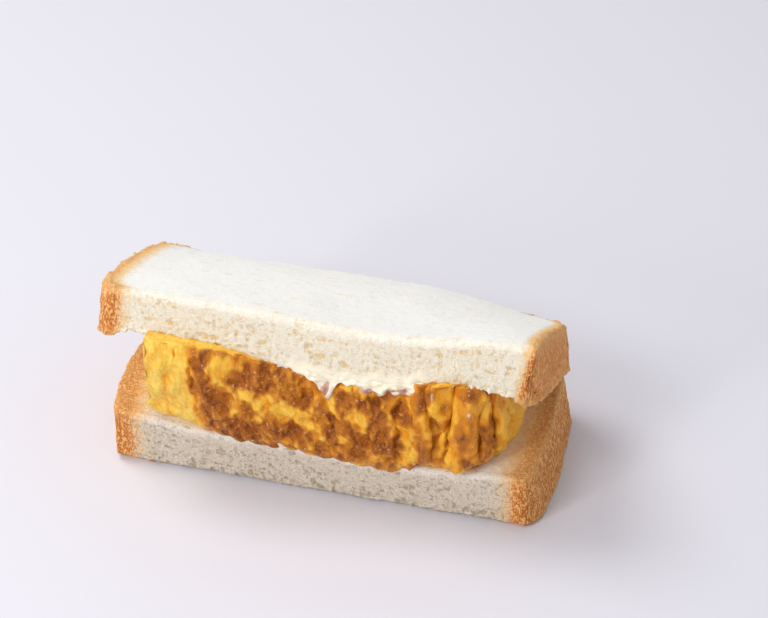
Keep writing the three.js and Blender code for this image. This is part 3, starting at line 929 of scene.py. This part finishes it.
def broad_relief(along, up):
    """How far the omelette's side stands out: lobes and creases."""
    out = SIDE_SWELL * np.sin(np.pi * clamp01(up))
    for place, lean, depth, width, low, high in CREASES:
        crease = hump(along, place + lean * (up - 0.5), width) * band(up, low, high, CREASE_FADE)
        out = out - CREASE_SHARE * depth * crease
    for place, lean, rise, width, middle, tall in LOBES:
        out = out + rise * hump(along, place + lean * (up - 0.5), width) * hump(up, middle, tall)
    browned = band(along, -36, 24, 4)
    recessed = band(along + END_WAVE * np.sin(8 * up + 1), *END_SPAN, 1.3)
    out = out - END_RECESS * recessed * smooth(1.0, 0.9, up)
    return out + RIPPLE * browned * np.sin(along * 0.9 + 7 * up) * np.sin(11 * up + along * 0.35)


def front_line(x, up):
    """How far forward the side stands at a place along it and a share of the height."""
    top = lerp(TOP_FRONT_LEFT, TOP_FRONT, smooth(-34, 2, x)) - FOLDED_LEAN * band(x, 28, 46, 4)
    foot = lerp(FOOT_FRONT_LEFT, FOOT_FRONT, smooth(-54, -16, x))
    return lerp(foot, top, smooth(-0.15, 1, up))


def omelette_surface(across, depth, up):
    """A point of the omelette, its place along the outline, and how much it belongs to the shown sides."""
    turn = np.maximum(0, FILLING_TURN - depth)
    inset = FILLING_TURN - np.sqrt(FILLING_TURN**2 - turn**2)
    left = lerp(FILLING_LEFT_FOOT, FILLING_LEFT_TOP, up)
    x = lerp(left, FILLING_RIGHT - inset, (across + 1) / 2)
    slope = FRONT_SLOPE + depth / ARC_RADIUS
    y = on_arc(x, depth, 0)[..., 1]

    dx, dy = x - TURN_X, y - TURN_Y
    angle = np.arctan2(dx, -dy)
    beside = np.where(dy >= 0, TURN_X + FILLING_TURN * np.pi / 2 + dy, TURN_X + FILLING_TURN * angle)
    along = np.where(dx <= 0, x, beside)
    out_x = np.where(dx <= 0, 0, np.where(dy >= 0, 1, np.sin(angle)))
    out_y = np.where(dx <= 0, -1, np.where(dy >= 0, 0, -np.cos(angle)))

    near_front = fading(depth, 9)
    near_end = smooth(FILLING_RIGHT - inset - 8, FILLING_RIGHT - inset, x)
    shown = np.maximum(near_front, near_end)
    rounding = EDGE_ROUNDING * fading(np.minimum(up, 1 - up), EDGE_SHARE)
    flat_topped = band(along, 33.5, 46.5, 1.0) * smooth(0.5, 1, up)
    rounding = rounding * (1 - 0.8 * flat_topped)
    out = (broad_relief(along, up) - rounding) * shown
    follows = fading(depth, LEAN_FADE) * (1 - near_end)
    px = x + out_x * out + END_HOLLOW * smooth(-0.93, -1, across) * np.sin(np.pi * up)
    py = y + out_y * out + (front_line(x, up) - UPPER_FRONT_Y) * follows

    layered = band(px, MAYONNAISE_LEFT - 4, MAYONNAISE_RIGHT + 4, 3) * LAYER_ROOM
    behind = np.maximum(0, depth + (py - y) / np.cos(slope))
    room_above = lerp(TOUCH, FILLING_CLEARANCE + layered, smooth(2.0, 5.0, behind))
    room_below = lerp(TOUCH, FILLING_CLEARANCE + layered, smooth(CUT_Y + 2, CUT_Y + 5, py))
    ceiling = on_arc(px, behind, upper_slice_underside(px, behind) - room_above)[..., 2]
    return at(px, py, lerp(lower_slice_top(px, py) + room_below, ceiling, up)), along, shown


def patches(along, high, spots):
    """Strongest of a list of soft-edged oval patches at each point."""
    found = np.zeros(along.shape)
    for place, height, wide, tall, strength in spots:
        reach = np.hypot((along - place) / wide, (high / FILLING_HEIGHT - height) / tall)
        found = np.maximum(found, strength * (1 - smooth(0.55, 1.3, reach)))
    return found


LUMP_TURN = np.array([[0.80, 0.60, 0.0], [-0.60, 0.80, 0.0], [0.0, 0.0, 1.0]])  # sets the lumps askew
# The material darkens the seams, folds and holes counted as hollow as painted shade
CURD_DEPTH = 0.45  # of the seams between curds, and how far they count as hollow


def curd_relief(place, along, high, browned):
    """Fine relief of the egg, how deep in a fold or hole each point lies, and how low between its lumps."""
    # hollow and low are what the material darkens as painted shade
    warped = place + clouds(place, 2.5, 8.0)[:, None] * 1.8
    grains = smooth(0.0, 0.5, seams(warped, 2.8, 4.0))
    lumpy = lerp(0.8, 1.2, browned) * clouds(place @ LUMP_TURN, 2.6, 5.0) + 0.6 * browned * (grains - 0.7)
    low = smooth(0.3, -0.5, lumpy)
    out = 1.0 * clouds(place, 4.6, 2.0) + lumpy + lerp(0.08, 0.3, browned) * clouds(place, 1.2, 7.0)
    curds = smooth(0.30, 0.02, seams(warped, 5.2, 3.0)) * smooth(-0.05, 0.3, clouds(place, 9.0, 6.0))
    curds = curds * smooth(-38, -34, along)
    hollow = CURD_DEPTH * curds
    out = out - hollow + 0.3 * browned * clouds(place, 1.3, 4.0)
    along = along + 0.9 * clouds(place, 2.4, 31.0)
    high = high + 0.9 * clouds(place, 2.4, 32.0)
    for points, depth, width, step in FOLDS:
        line = [(a, h * FILLING_HEIGHT) for a, h in points]
        distance, side = line_distance(along, high, line)
        cut = np.exp(-distance / width)
        out = out - depth * cut - step * side * smooth(FOLD_REACH, 0.4, distance)
        hollow = np.maximum(hollow, cut**1.5 * min(1.0, depth))
    for place_along, height, wide, tall, depth in HOLES:
        reach = np.hypot((along - place_along) / wide, (high - height * FILLING_HEIGHT) / tall)
        hole = np.exp(-(reach**2))
        out = out - depth * hole + 0.25 * depth * np.exp(-((reach - 1.8) ** 2) / 0.3)
        hollow = np.maximum(hollow, hole)
    return out, hollow, low


def browning(place, along, high):
    """How far the egg is fried, from its side's left end round to its right end."""
    warp_along = along + 2.2 * clouds(place, 4.5, 1.0) + 0.8 * clouds(place, 1.7, 2.0)
    warp_high = high + 2.0 * clouds(place, 4.5, 11.0) + 0.8 * clouds(place, 1.7, 12.0)
    zone = smooth(-36.5, -32.0, warp_along) * smooth(59.0, 55.0, warp_along)
    zone = zone - 0.04 * smooth(25, 29, warp_along) - 0.2 * band(warp_along, 33, 60, 2)
    frying = zone * (0.40 + 0.5 * clouds(place, 3.4, 21.0) + 0.32 * clouds(place, 1.4, 22.0))
    browned = frying + 0.50 * patches(warp_along, warp_high, FRIED)
    browned = browned - 0.42 * patches(warp_along, warp_high, PALE)
    return clamp01(np.maximum(browned, 0.13 * zone)) * smooth(62, 56, along)


OMELETTE_CELLS = ((52, 5), (56,), (66,))
TURN_SHARE = 0.66  # of the rows from front to back, which the round end takes
RIGHT_END = 0.98  # across, past which a point lies on the round end


def make_omelette():
    """The folded omelette as a cut cube: side and left end flat, right end round."""
    piece = cube_in_cells("folded_omelette", OMELETTE_CELLS)
    across, back, up = cell_shares(piece)
    turning = FILLING_TURN * (1 - np.cos(np.pi / 2 * np.minimum(back / TURN_SHARE, 1)))
    straight = (FILLING_DEPTH - FILLING_TURN) * np.maximum(0, back - TURN_SHARE) / (1 - TURN_SHARE)
    depth = turning + straight
    points, along, shown = omelette_surface(across, depth, up)
    write_points(piece, points)
    high = up * FILLING_HEIGHT
    place = at(along, high, depth * (1 - smooth(0.9, 1, across)))
    behind = np.where(across > RIGHT_END, 0, depth)
    browned = browning(place, along, high) * smooth(2.0, 0.3, behind)
    fine, hollow, low = curd_relief(place, along, high, browned)
    lift = fine * lerp(0.4, 1, shown) * smooth(6, 2, behind)
    add_relief(piece, points, lift * lerp(0.25, 1, smooth(0, EDGE_SHARE, np.minimum(up, 1 - up))))
    paint(piece, place, browned=browned, hollow=clamp01(hollow) * shown, low=low, wet=0 * low)
    return piece


def end_outline(along, up):
    """A place on the smooth side of the omelette's round end, and the way out from it."""
    angle = np.clip((along - TURN_X) / FILLING_TURN, 0, np.pi / 2)
    x = TURN_X + np.minimum(along - TURN_X, 0) + FILLING_TURN * np.sin(angle)
    y = TURN_Y - FILLING_TURN * np.cos(angle) + np.maximum(0, along - TURN_X - FILLING_TURN * np.pi / 2)
    leaning = smooth(TURN_X, TURN_X - 8, x)
    return x, y + (front_line(x, up) - UPPER_FRONT_Y) * leaning, np.sin(angle), -np.cos(angle)


FOLD_APART = 7.0  # mm between the patterns of two folds, so that no two look alike


def make_end_fold(number, line, blunt):
    """One fold of the round end: a ball drawn out along its line from top to foot."""
    piece = add_ball(56, 44)
    ball = read_points(piece)
    t = (1 - ball[:, 2]) / 2
    girth = clamp01(1 - np.abs(2 * t - 1) ** blunt) ** (1 / blunt)
    turn = np.arctan2(ball[:, 1], ball[:, 0])
    steps = np.linspace(0, 1, len(line))
    middle, share, width, thick, stand = [np.interp(t, steps, column) for column in zip(*line)]
    along = middle + width * girth * np.cos(turn)
    outward = -np.sin(turn)
    out = SIDE_SWELL * np.sin(np.pi * clamp01(share)) - END_RECESS + stand + thick * girth * outward
    x, y, out_x, out_y = end_outline(along, share)
    x, y = x + out_x * out, y + out_y * out
    behind = np.maximum(0, y - UPPER_FRONT_Y)
    ceiling = on_arc(x, behind, upper_slice_underside(x, behind) - TOUCH)[:, 2]
    z = lerp(lower_slice_top(x, y) + TOUCH, ceiling, share)
    write_points(piece, at(x, y, z))
    high = share * FILLING_HEIGHT
    place = at(along, high, FOLD_APART * number + out)
    upright = place * np.array([1.0, 0.4, 1.0])
    relief = 1.1 * clouds(upright, 3.4, 2.0) + 0.3 * clouds(upright, 1.3, 5.0)
    relief = relief + 0.8 * clouds(place, 3.0, 8.0)
    add_relief(piece, read_points(piece), relief)
    # Painted shade on the folds' inner sides, which face into the creases
    hollow = 0.75 * smooth(0.3, -0.2, outward + 0.3 * clouds(place, 2.0, 6.0))
    ragged = 0.4 * clouds(place, 0.7, 3.0)
    # Painted highlights on the folds' outer sides
    wet = patches(along + ragged, high + ragged, PAINTED_HIGHLIGHTS) * smooth(0.3, 0.7, outward)
    browned = browning(place * np.array([1, 1, 0]), along, high)
    paint(piece, place, browned=browned, hollow=hollow, low=smooth(0.2, -0.4, relief), wet=wet)
    return piece


# Mayonnaise

RAY_START = -80.0
RAY_END = -20.0
SMEAR_ROOT = 1.2  # how deep a smear reaches into what it lies on
SMEAR_EVENING = 10  # how often the surface below a smear is averaged


def front_surface(x, z, pieces):
    """How far forward the pieces reach at each place of a grid, evened out so that a smear bridges gaps."""
    graph = bpy.context.evaluated_depsgraph_get()
    trees = [BVHTree.FromObject(piece, graph) for piece in pieces]
    front = np.full(x.shape, RAY_END)
    for place in np.ndindex(x.shape):
        start = ((x[place] + FRAME_SHIFT[0]) * MM, RAY_START * MM, z[place] * MM)
        for tree in trees:
            hit = tree.ray_cast(start, (0, 1, 0))[0]
            if hit:
                front[place] = min(front[place], hit.y / MM - FRAME_SHIFT[1])
    for axis in (0, 1):
        before, after = np.roll(front, 1, axis), np.roll(front, -1, axis)
        front = np.minimum(front, np.minimum(before, after))
    for axis in (0, 1) * SMEAR_EVENING:
        padded = np.pad(front, [(1, 1) if a == axis else (0, 0) for a in (0, 1)], mode="edge")
        front = np.roll(padded, 1, axis) + 2 * padded + np.roll(padded, -1, axis)
        front = np.delete(front, [0, front.shape[axis] - 1], axis) / 4
    return front


def make_smear(name, columns, rows, spread, pieces, thickness):
    """A smear draped over the front of the pieces. Its borders sink in, so that they end unevenly.

    spread gives x, the height, the swell, and how far the smear is blushed and thin."""
    piece = cube_in_cells(name, (columns, (3,), rows))
    across, out, down = cell_shares(piece)
    x, z, swell, blush, thin = spread((across + 1) / 2, 1 - down)
    steps_across, steps_down = math.prod(columns), math.prod(rows)
    grid_across, grid_down = np.meshgrid(
        np.linspace(0, 1, steps_across + 1), np.linspace(0, 1, steps_down + 1), indexing="ij")
    grid_x, grid_z = spread(grid_across.ravel(), grid_down.ravel())[:2]
    front = front_surface(grid_x.reshape(grid_across.shape), grid_z.reshape(grid_across.shape), pieces)
    column = np.rint((across + 1) / 2 * steps_across).astype(int)
    row = np.rint((1 - down) * steps_down).astype(int)
    y = front[column, row] - lerp(thickness * swell, -SMEAR_ROOT, out)
    write_points(piece, at(x, y, z))
    paint(piece, at(x, z, out), blush=clamp01(blush), thin=clamp01(thin))
    return piece


SMEAR_LEFT = -6.5
SMEAR_RIGHT = 32.0
TIP_X = 4.7
TIP_DROP = 5.8
DROPLET = (3.6, 2.5, 1.1, 2.2)  # x, way down from the slice's edge, half width and half height


def upper_spread(across, v):
    """Coats the lower edge of the upper slice's cut and hangs over the omelette, with one pointed tip."""
    x = lerp(SMEAR_LEFT, SMEAR_RIGHT, across)
    along = at(x, 0, 0)
    rise = 2.2 + 1.6 * clouds(along, 4.0, 2.0)
    before_tip = clamp01((x - SMEAR_LEFT) / (TIP_X - SMEAR_LEFT)) ** 2.0
    after_tip = smooth(TIP_X + 2.6, TIP_X - 0.4, x)
    drop = 0.3 + TIP_DROP * np.where(x < TIP_X, before_tip, after_tip)
    drop = drop + (2.2 * smooth(11, 15, x) + 0.6 * smooth(22, 27, x)) * smooth(32, 28, x)
    drop = drop + 1.3 * clouds(along, 3.4, 9.0) + 0.9 * clouds(along, 1.5, 4.0)
    ends = smooth(0.0, 0.15, across) * smooth(1.0, 0.85, across)
    edge = on_arc(x, 0, upper_slice_underside(x, 0))[:, 2]
    z = lerp(edge + rise * lerp(0.4, 1, ends), edge + lerp(0.6, -drop, ends), v)
    below = edge - z

    place = at(0.7 * x, 1.3 * z, 0)
    coat = 0.15 * smooth(0.0, 0.5, v) + 0.5 * hump(below, 0.6, 1.1) + 0.3 * smooth(0.3, 1.0, below)
    ripples = 1.5 * clouds(place, 2.6, 3.0) + 0.8 * clouds(place, 1.3, 8.0)
    swell = coat * (1 + ripples) * smooth(1.0, 0.8, v) * ends
    leaning = x - DROPLET[0] + 0.4 * (below - DROPLET[1])
    reach = np.hypot(leaning / DROPLET[2], (below - DROPLET[1]) / DROPLET[3])
    swell = swell - 0.35 * np.exp(-(reach**2)) + 0.2 * hump(reach, 1.4, 0.6)
    swell = lerp(-0.6, swell, smooth(0.0, 0.3, v) * smooth(1.0, 0.93, v) * ends)
    streaks = smooth(-0.35, 0.1, clouds(place * np.array([0.7, 1.0, 1.0]), 1.3, 5.0))
    streaked = 1.3 * smooth(10, 13, x) * smooth(0.5, 1.0, below) * streaks
    tail = hump(x, TIP_X + 0.3, 0.8) * smooth(3.0, 4.5, below)
    blush = 1.5 * smooth(1.25, 0.75, reach) + streaked + 0.7 * tail + 0.5 * smooth(0.8, 1.0, v)
    return x, z, swell, blush, smooth(-1.5, -3.5, below)


LOWER_BLOBS = [(-9.7, 1.7, 1.0)]
LOWER_SMEAR_SPAN = (-14.0, -5.4)


def lower_spread(across, v):
    """Mayonnaise pressed out between the omelette's foot and the lower slice."""
    x = lerp(*LOWER_SMEAR_SPAN, across)
    blobs = swells(x, LOWER_BLOBS)
    edge = lower_slice_top(x, CUT_Y)
    z = lerp(edge + 1.4, edge - 0.3 - 1.8 * blobs, v)
    place = at(x, z, 0)
    swell = 1.8 * blobs * np.sin(np.pi * v) ** 0.7 * (1 + 0.6 * clouds(place, 2.0, 3.0)) - 0.8
    return x, z, swell, 0.35 * smooth(0.1, 0.4, clouds(place, 1.5, 6.0)), 0 * x


LAYER_THICKNESS = 0.9
LAYER_CELLS = ((40,), (24,), (2,))


def make_layer(name, place_at):
    """A thin layer that lies inside, between egg and bread."""
    piece = cube_in_cells(name, LAYER_CELLS)
    across, back, up = cell_shares(piece)
    x = lerp(MAYONNAISE_LEFT, MAYONNAISE_RIGHT, (across + 1) / 2)
    write_points(piece, place_at(x, across, back, up))
    paint(piece, at(x, 40 * back, up), blush=0 * x, thin=0 * x)
    return piece


def upper_layer(x, across, back, up):
    depth = lerp(5.0, 38 - 5 * across**2, back)
    return on_arc(x, depth, upper_slice_underside(x, depth) - CLEARANCE - LAYER_THICKNESS * (1 - up))


def lower_layer(x, across, back, up):
    y = lerp(CUT_Y + 5.0, 8 - 4 * across**2, back)
    return at(x, y, lower_slice_top(x, y) + CLEARANCE + LAYER_THICKNESS * up)


# Settings, operators and panel


def length(name, description, default):
    return FloatProperty(
        name=name, description=description, default=default, subtype="DISTANCE", unit="LENGTH")


def power(name, description, default):
    return FloatProperty(name=name, description=description, default=default, unit="POWER")


def colour(name, description, red, green, blue):
    return FloatVectorProperty(
        name=name, description=description, default=srgb(red, green, blue), size=4, subtype="COLOR",
        min=0, max=1)


class SandwichBreadSettings(PropertyGroup):
    # Partly the sliced faces' own whiter crumb, partly painted light on the brightly lit top
    lit_face_colour: colour("Sliced face", "Colour of the crumb on the sliced faces", 251, 249, 244)
    upper_crumb_colour: colour("Upper crumb", "Crumb in the upper slice's cut", 239, 230, 211)
    # Painted shade in the upper slice's pores
    upper_pore_shade_colour: colour("Upper pores", "Pores in the upper slice's cut", 227, 196, 142)
    # Painted shade: the lower cut's crumb is drawn darker than the upper's because it lies in shade
    lower_shaded_crumb_colour: colour("Lower crumb", "Crumb in the lower slice's cut", 217, 203, 185)
    # Painted shade in the lower slice's pores, darker because that cut lies in shade
    lower_pore_shade_colour: colour("Lower pores", "Pores in the lower slice's cut", 178, 159, 132)
    faint_toast_colour: colour("Faintly toasted", "Crumb of the sliced faces further in", 232, 200, 150)
    toast_colour: colour("Toasted crumb", "Colour of the crumb next to the crust", 214, 154, 82)
    toast_grain_colour: colour("Toast grains", "Light grains among the toasted crumb", 248, 199, 124)
    crust_colour: colour("Crust", "Main colour of the crust", 206, 119, 46)
    # Painted light on the right end's crust, which faces away from the lamps; not a lighter bake
    crust_lit_end_colour: colour("Pale crust", "Where the crust is only lightly baked", 250, 150, 78)
    crust_dark_colour: colour("Dark crust", "Where the crust baked longest", 180, 98, 34)
    crust_grain_colour: colour("Crust grains", "Light grains on the crust", 254, 200, 130)
    rim_colour: colour("Crust rim", "Rim of the crust at the sliced faces", 242, 194, 126)
    # Painted light on the rims of the upper slice's faces
    face_rim_light_colour: colour("Pale rim", "Rim of the upper slice's faces", 255, 198, 134)
    coat_colour: colour("Coated crumb", "Crumb soaked with mayonnaise", 244, 233, 208)
    grain_height: length("Grain height", "Height of the finest grain", 0.3 * MM)


class SandwichFillingSettings(PropertyGroup):
    egg_colour: colour("Egg", "Main colour of the egg", 249, 193, 42)
    # Paler patches of the egg, and painted light on the tops of its grain
    egg_pale_and_lit_colour: colour("Pale egg", "Paler patches of the egg", 255, 220, 106)
    # Painted shade in folds, hollows and the lows between lumps
    egg_shade_colour: colour("Deep egg", "Egg in folds and hollows", 250, 162, 8)
    golden_colour: colour("Golden egg", "Lightly fried egg", 220, 131, 2)
    brown_colour: colour("Fried egg", "Browned egg", 174, 95, 5)
    # Partly lighter fried grains, partly painted highlight on the tops of the grain
    brown_light_and_lit_colour: colour("Light fried egg", "Lighter grains of browned egg", 214, 140, 46)
    # Both the darkest browned egg and painted shade in the deepest creases
    brown_dark_and_shade_colour: colour("Dark fried egg", "Darkest browned egg", 133, 61, 2)
    # Painted glints, highlights on browned egg, not a colour of the egg
    painted_glint_colour: colour("Glints", "Wet grains of browned egg", 246, 196, 150)
    # Painted highlights, not a colour of the egg
    painted_highlight_colour: colour("Wet spots", "Spots where the egg is wet", 255, 240, 226)
    curd_grain: length("Curd grain", "Height of the egg's finest grain", 0.3 * MM)
    smear_thickness: FloatProperty(
        name="Smear", description="Thickness of the smear in millimetres", default=1.0)
    mayonnaise_colour: colour("Mayonnaise", "Main colour of the mayonnaise", 240, 229, 208)
    mayonnaise_deep_colour: colour("Deep mayonnaise", "Thicker mayonnaise", 238, 220, 190)
    smear_thin_colour: colour("Thin smear", "Where the mayonnaise only coats the crumb", 248, 239, 218)
    blush_colour: colour("Blush", "Where brown egg tints the mayonnaise", 172, 112, 100)


class SandwichStageSettings(PropertyGroup):
    floor_colour: colour("Floor", "Colour of the floor", 225, 223, 231)
    sky_strength: FloatProperty(name="Sky", description="Strength of the even light", default=0.55, min=0)
    key_power: power("Key light", "Power of the main light", 4.1)
    fill_power: power("Fill light", "Power of the front light", 3.0)
    glint_power: power("Low light", "Power of the small light", 2.2)


SETTINGS = {
    "sandwich_bread": SandwichBreadSettings,
    "sandwich_filling": SandwichFillingSettings,
    "sandwich_stage": SandwichStageSettings,
}

# Rounding of the cut's upper and lower edge, fraying of its lower edge, and the finish of each slice:
# the size of its pores and the painted light on the rims of its faces
LOWER_ROUNDING = (1.6, 0.6)
UPPER_ROUNDING = (2.6, 0.5)
LOWER_FRAYING = 0.9
UPPER_FRAYING = 1.1
LOWER_PORE_SCALE = 0.62
UPPER_PORE_SCALE = 1.0
LOWER_FACE_RIM_LIGHT = 0.0
UPPER_FACE_RIM_LIGHT = 0.7


def lower_coarseness(share_up):
    return lerp(1.0, 0.3, smooth(0.05, 0.5, share_up))


def upper_coarseness(share_up):
    return lerp(0.35, 0.0, share_up)


class SANDWICH_OT_lower_slice(Operator):
    """Builds the slice that the sandwich stands on"""

    bl_idname = "sandwich.lower_slice"
    bl_label = "Lower slice"

    def execute(self, context):
        settings = context.scene.sandwich_bread
        piece = make_slice(
            "lower_slice", LOWER_SIDES, LOWER_THICKNESS, LOWER_ROUNDING, lower_coarseness, LOWER_FRAYING,
            place_lower, lower_coat)
        points = read_points(piece)
        points[:, 2] = np.maximum(points[:, 2], 0)
        write_points(piece, points)
        piece = join_pieces([piece, *(make_crumb(*crumb) for crumb in LOOSE_CRUMBS)])
        material = material_named(
            "Lower bread", bread_finish, settings, settings.lower_shaded_crumb_colour, settings.lower_pore_shade_colour,
            LOWER_PORE_SCALE, LOWER_FACE_RIM_LIGHT)
        finish_piece(piece, material, "bread", "bread_lower")
        return {"FINISHED"}


class SANDWICH_OT_upper_slice(Operator):
    """Builds the slice that leans on the filling"""

    bl_idname = "sandwich.upper_slice"
    bl_label = "Upper slice"

    def execute(self, context):
        settings = context.scene.sandwich_bread
        piece = make_slice(
            "upper_slice", UPPER_SIDES, FRONT_TOP, UPPER_ROUNDING, upper_coarseness, UPPER_FRAYING,
            place_upper, upper_coat)
        material = material_named(
            "Upper bread", bread_finish, settings, settings.upper_crumb_colour, settings.upper_pore_shade_colour,
            UPPER_PORE_SCALE, UPPER_FACE_RIM_LIGHT)
        finish_piece(piece, material, "bread", "bread_upper")
        return {"FINISHED"}


class SANDWICH_OT_omelette(Operator):
    """Builds the folded omelette"""

    bl_idname = "sandwich.omelette"
    bl_label = "Omelette"

    def execute(self, context):
        folds = [make_end_fold(number, *fold) for number, fold in enumerate(END_FOLDS)]
        piece = join_pieces([make_omelette(), *folds])
        material = material_named("Egg", egg_finish, context.scene.sandwich_filling)
        finish_piece(piece, material, "omelette", "omelette")
        return {"FINISHED"}


class SANDWICH_OT_mayonnaise(Operator):
    """Builds the smears of mayonnaise above and below the omelette"""

    bl_idname = "sandwich.mayonnaise"
    bl_label = "Mayonnaise"

    def execute(self, context):
        settings = context.scene.sandwich_filling
        material = material_named("Mayonnaise", mayonnaise_finish, settings)
        under = [bpy.data.objects[name] for name in ("upper_slice", "folded_omelette", "lower_slice")]
        for name, node, columns, rows, spread, place_at in (
            ("mayonnaise_above", "mayonnaise_upper", (50, 5), (48,), upper_spread, upper_layer),
            ("mayonnaise_below", "mayonnaise_lower", (40, 4), (24,), lower_spread, lower_layer),
        ):
            smear = make_smear(name, columns, rows, spread, under, settings.smear_thickness)
            piece = join_pieces([smear, make_layer("layer", place_at)])
            finish_piece(piece, material, "mayonnaise", node)
        return {"FINISHED"}


# Camera: its centre in millimetres from the part's origin, along its own axes, and its turn
CAMERA_DISTANCE = 868.318
CAMERA_ELEVATION = math.radians(35.395)
CAMERA_AZIMUTH = math.radians(15.1918)
CAMERA_ROLL = math.radians(-0.1366)
CAMERA_RIGHT = 11.236
CAMERA_UP = 36.248
LENS = 139.32
SENSOR = 36.0
CLIP_START = 0.05
FLOOR_SIZE = 6.0
SKY_COLOUR = (0.97, 0.98, 1.0, 1.0)
LIT_POINT = (0, 0, 0.03)

# Lamps: name, place and width in metres
LAMPS = [
    ("key", (-0.50, 0.12, 0.86), 0.5),
    ("fill", (-0.34, -0.74, 0.72), 0.4),
    ("glint", (-0.50, -0.85, 0.36), 0.2),
]


def aim(thing, target):
    """Turns a lamp towards a point."""
    thing.rotation_euler = (Vector(target) - thing.location).to_track_quat("-Z", "Y").to_euler()


class SANDWICH_OT_stage(Operator):
    """Builds the floor, the lights and the camera"""

    bl_idname = "sandwich.stage"
    bl_label = "Stage"

    def execute(self, context):
        settings = context.scene.sandwich_stage
        start_clean()
        bpy.ops.mesh.primitive_plane_add(size=FLOOR_SIZE, location=(0, 0, 0))
        floor = context.object
        floor.name = "floor"
        floor.data.materials.append(material_named("Floor", floor_finish, settings))

        world = bpy.data.worlds.new("Studio")
        context.scene.world = world
        world.use_nodes = True
        background = world.node_tree.nodes["Background"]
        background.inputs["Color"].default_value = SKY_COLOUR
        background.inputs["Strength"].default_value = settings.sky_strength

        for name, place, size in LAMPS:
            bpy.ops.object.light_add(type="AREA", location=place)
            lamp = context.object
            lamp.name = name
            lamp.data.shape = "DISK"
            lamp.data.size = size
            lamp.data.energy = getattr(settings, name + "_power")
            aim(lamp, LIT_POINT)

        back = Vector((
            math.sin(CAMERA_AZIMUTH) * math.cos(CAMERA_ELEVATION),
            -math.cos(CAMERA_AZIMUTH) * math.cos(CAMERA_ELEVATION),
            math.sin(CAMERA_ELEVATION)))
        right = Vector((math.cos(CAMERA_AZIMUTH), math.sin(CAMERA_AZIMUTH), 0))
        up = back.cross(right)
        centre = back * CAMERA_DISTANCE + right * CAMERA_RIGHT + up * CAMERA_UP
        centre += Vector(FRAME_SHIFT.tolist())
        bpy.ops.object.camera_add()
        camera = context.object
        turn = Matrix((right, up, back)).transposed().to_4x4() @ Matrix.Rotation(-CAMERA_ROLL, 4, "Z")
        camera.matrix_world = Matrix.Translation(centre * MM) @ turn
        camera.data.lens = LENS
        camera.data.sensor_width = SENSOR
        camera.data.clip_start = CLIP_START
        context.scene.camera = camera
        context.scene.view_settings.view_transform = "Standard"
        context.scene.view_settings.look = "None"
        return {"FINISHED"}


class SANDWICH_PT_panel(Panel):
    """Lists the sandwich's settings and steps"""

    bl_label = "Sandwich"
    bl_idname = "SANDWICH_PT_panel"
    bl_space_type = "VIEW_3D"
    bl_region_type = "UI"
    bl_category = "Sandwich"

    def draw(self, context):
        for owner in [getattr(context.scene, name) for name in SETTINGS]:
            box = self.layout.box()
            for name in owner.__annotations__:
                box.prop(owner, name)
        for step in STEPS:
            self.layout.operator(step.bl_idname)


STEPS = (
    SANDWICH_OT_lower_slice,
    SANDWICH_OT_upper_slice,
    SANDWICH_OT_omelette,
    SANDWICH_OT_mayonnaise,
    SANDWICH_OT_stage,
)
CLASSES = (*SETTINGS.values(), *STEPS, SANDWICH_PT_panel)


def register():
    for cls in CLASSES:
        bpy.utils.register_class(cls)
    for name, kind in SETTINGS.items():
        setattr(bpy.types.Scene, name, PointerProperty(type=kind))


def unregister():
    for name in SETTINGS:
        delattr(bpy.types.Scene, name)
    for cls in reversed(CLASSES):
        bpy.utils.unregister_class(cls)


def main():
    register()
    bpy.ops.sandwich.lower_slice()
    bpy.ops.sandwich.upper_slice()
    bpy.ops.sandwich.omelette()
    bpy.ops.sandwich.mayonnaise()
    bpy.ops.sandwich.stage()


if __name__ == "__main__":
    main()
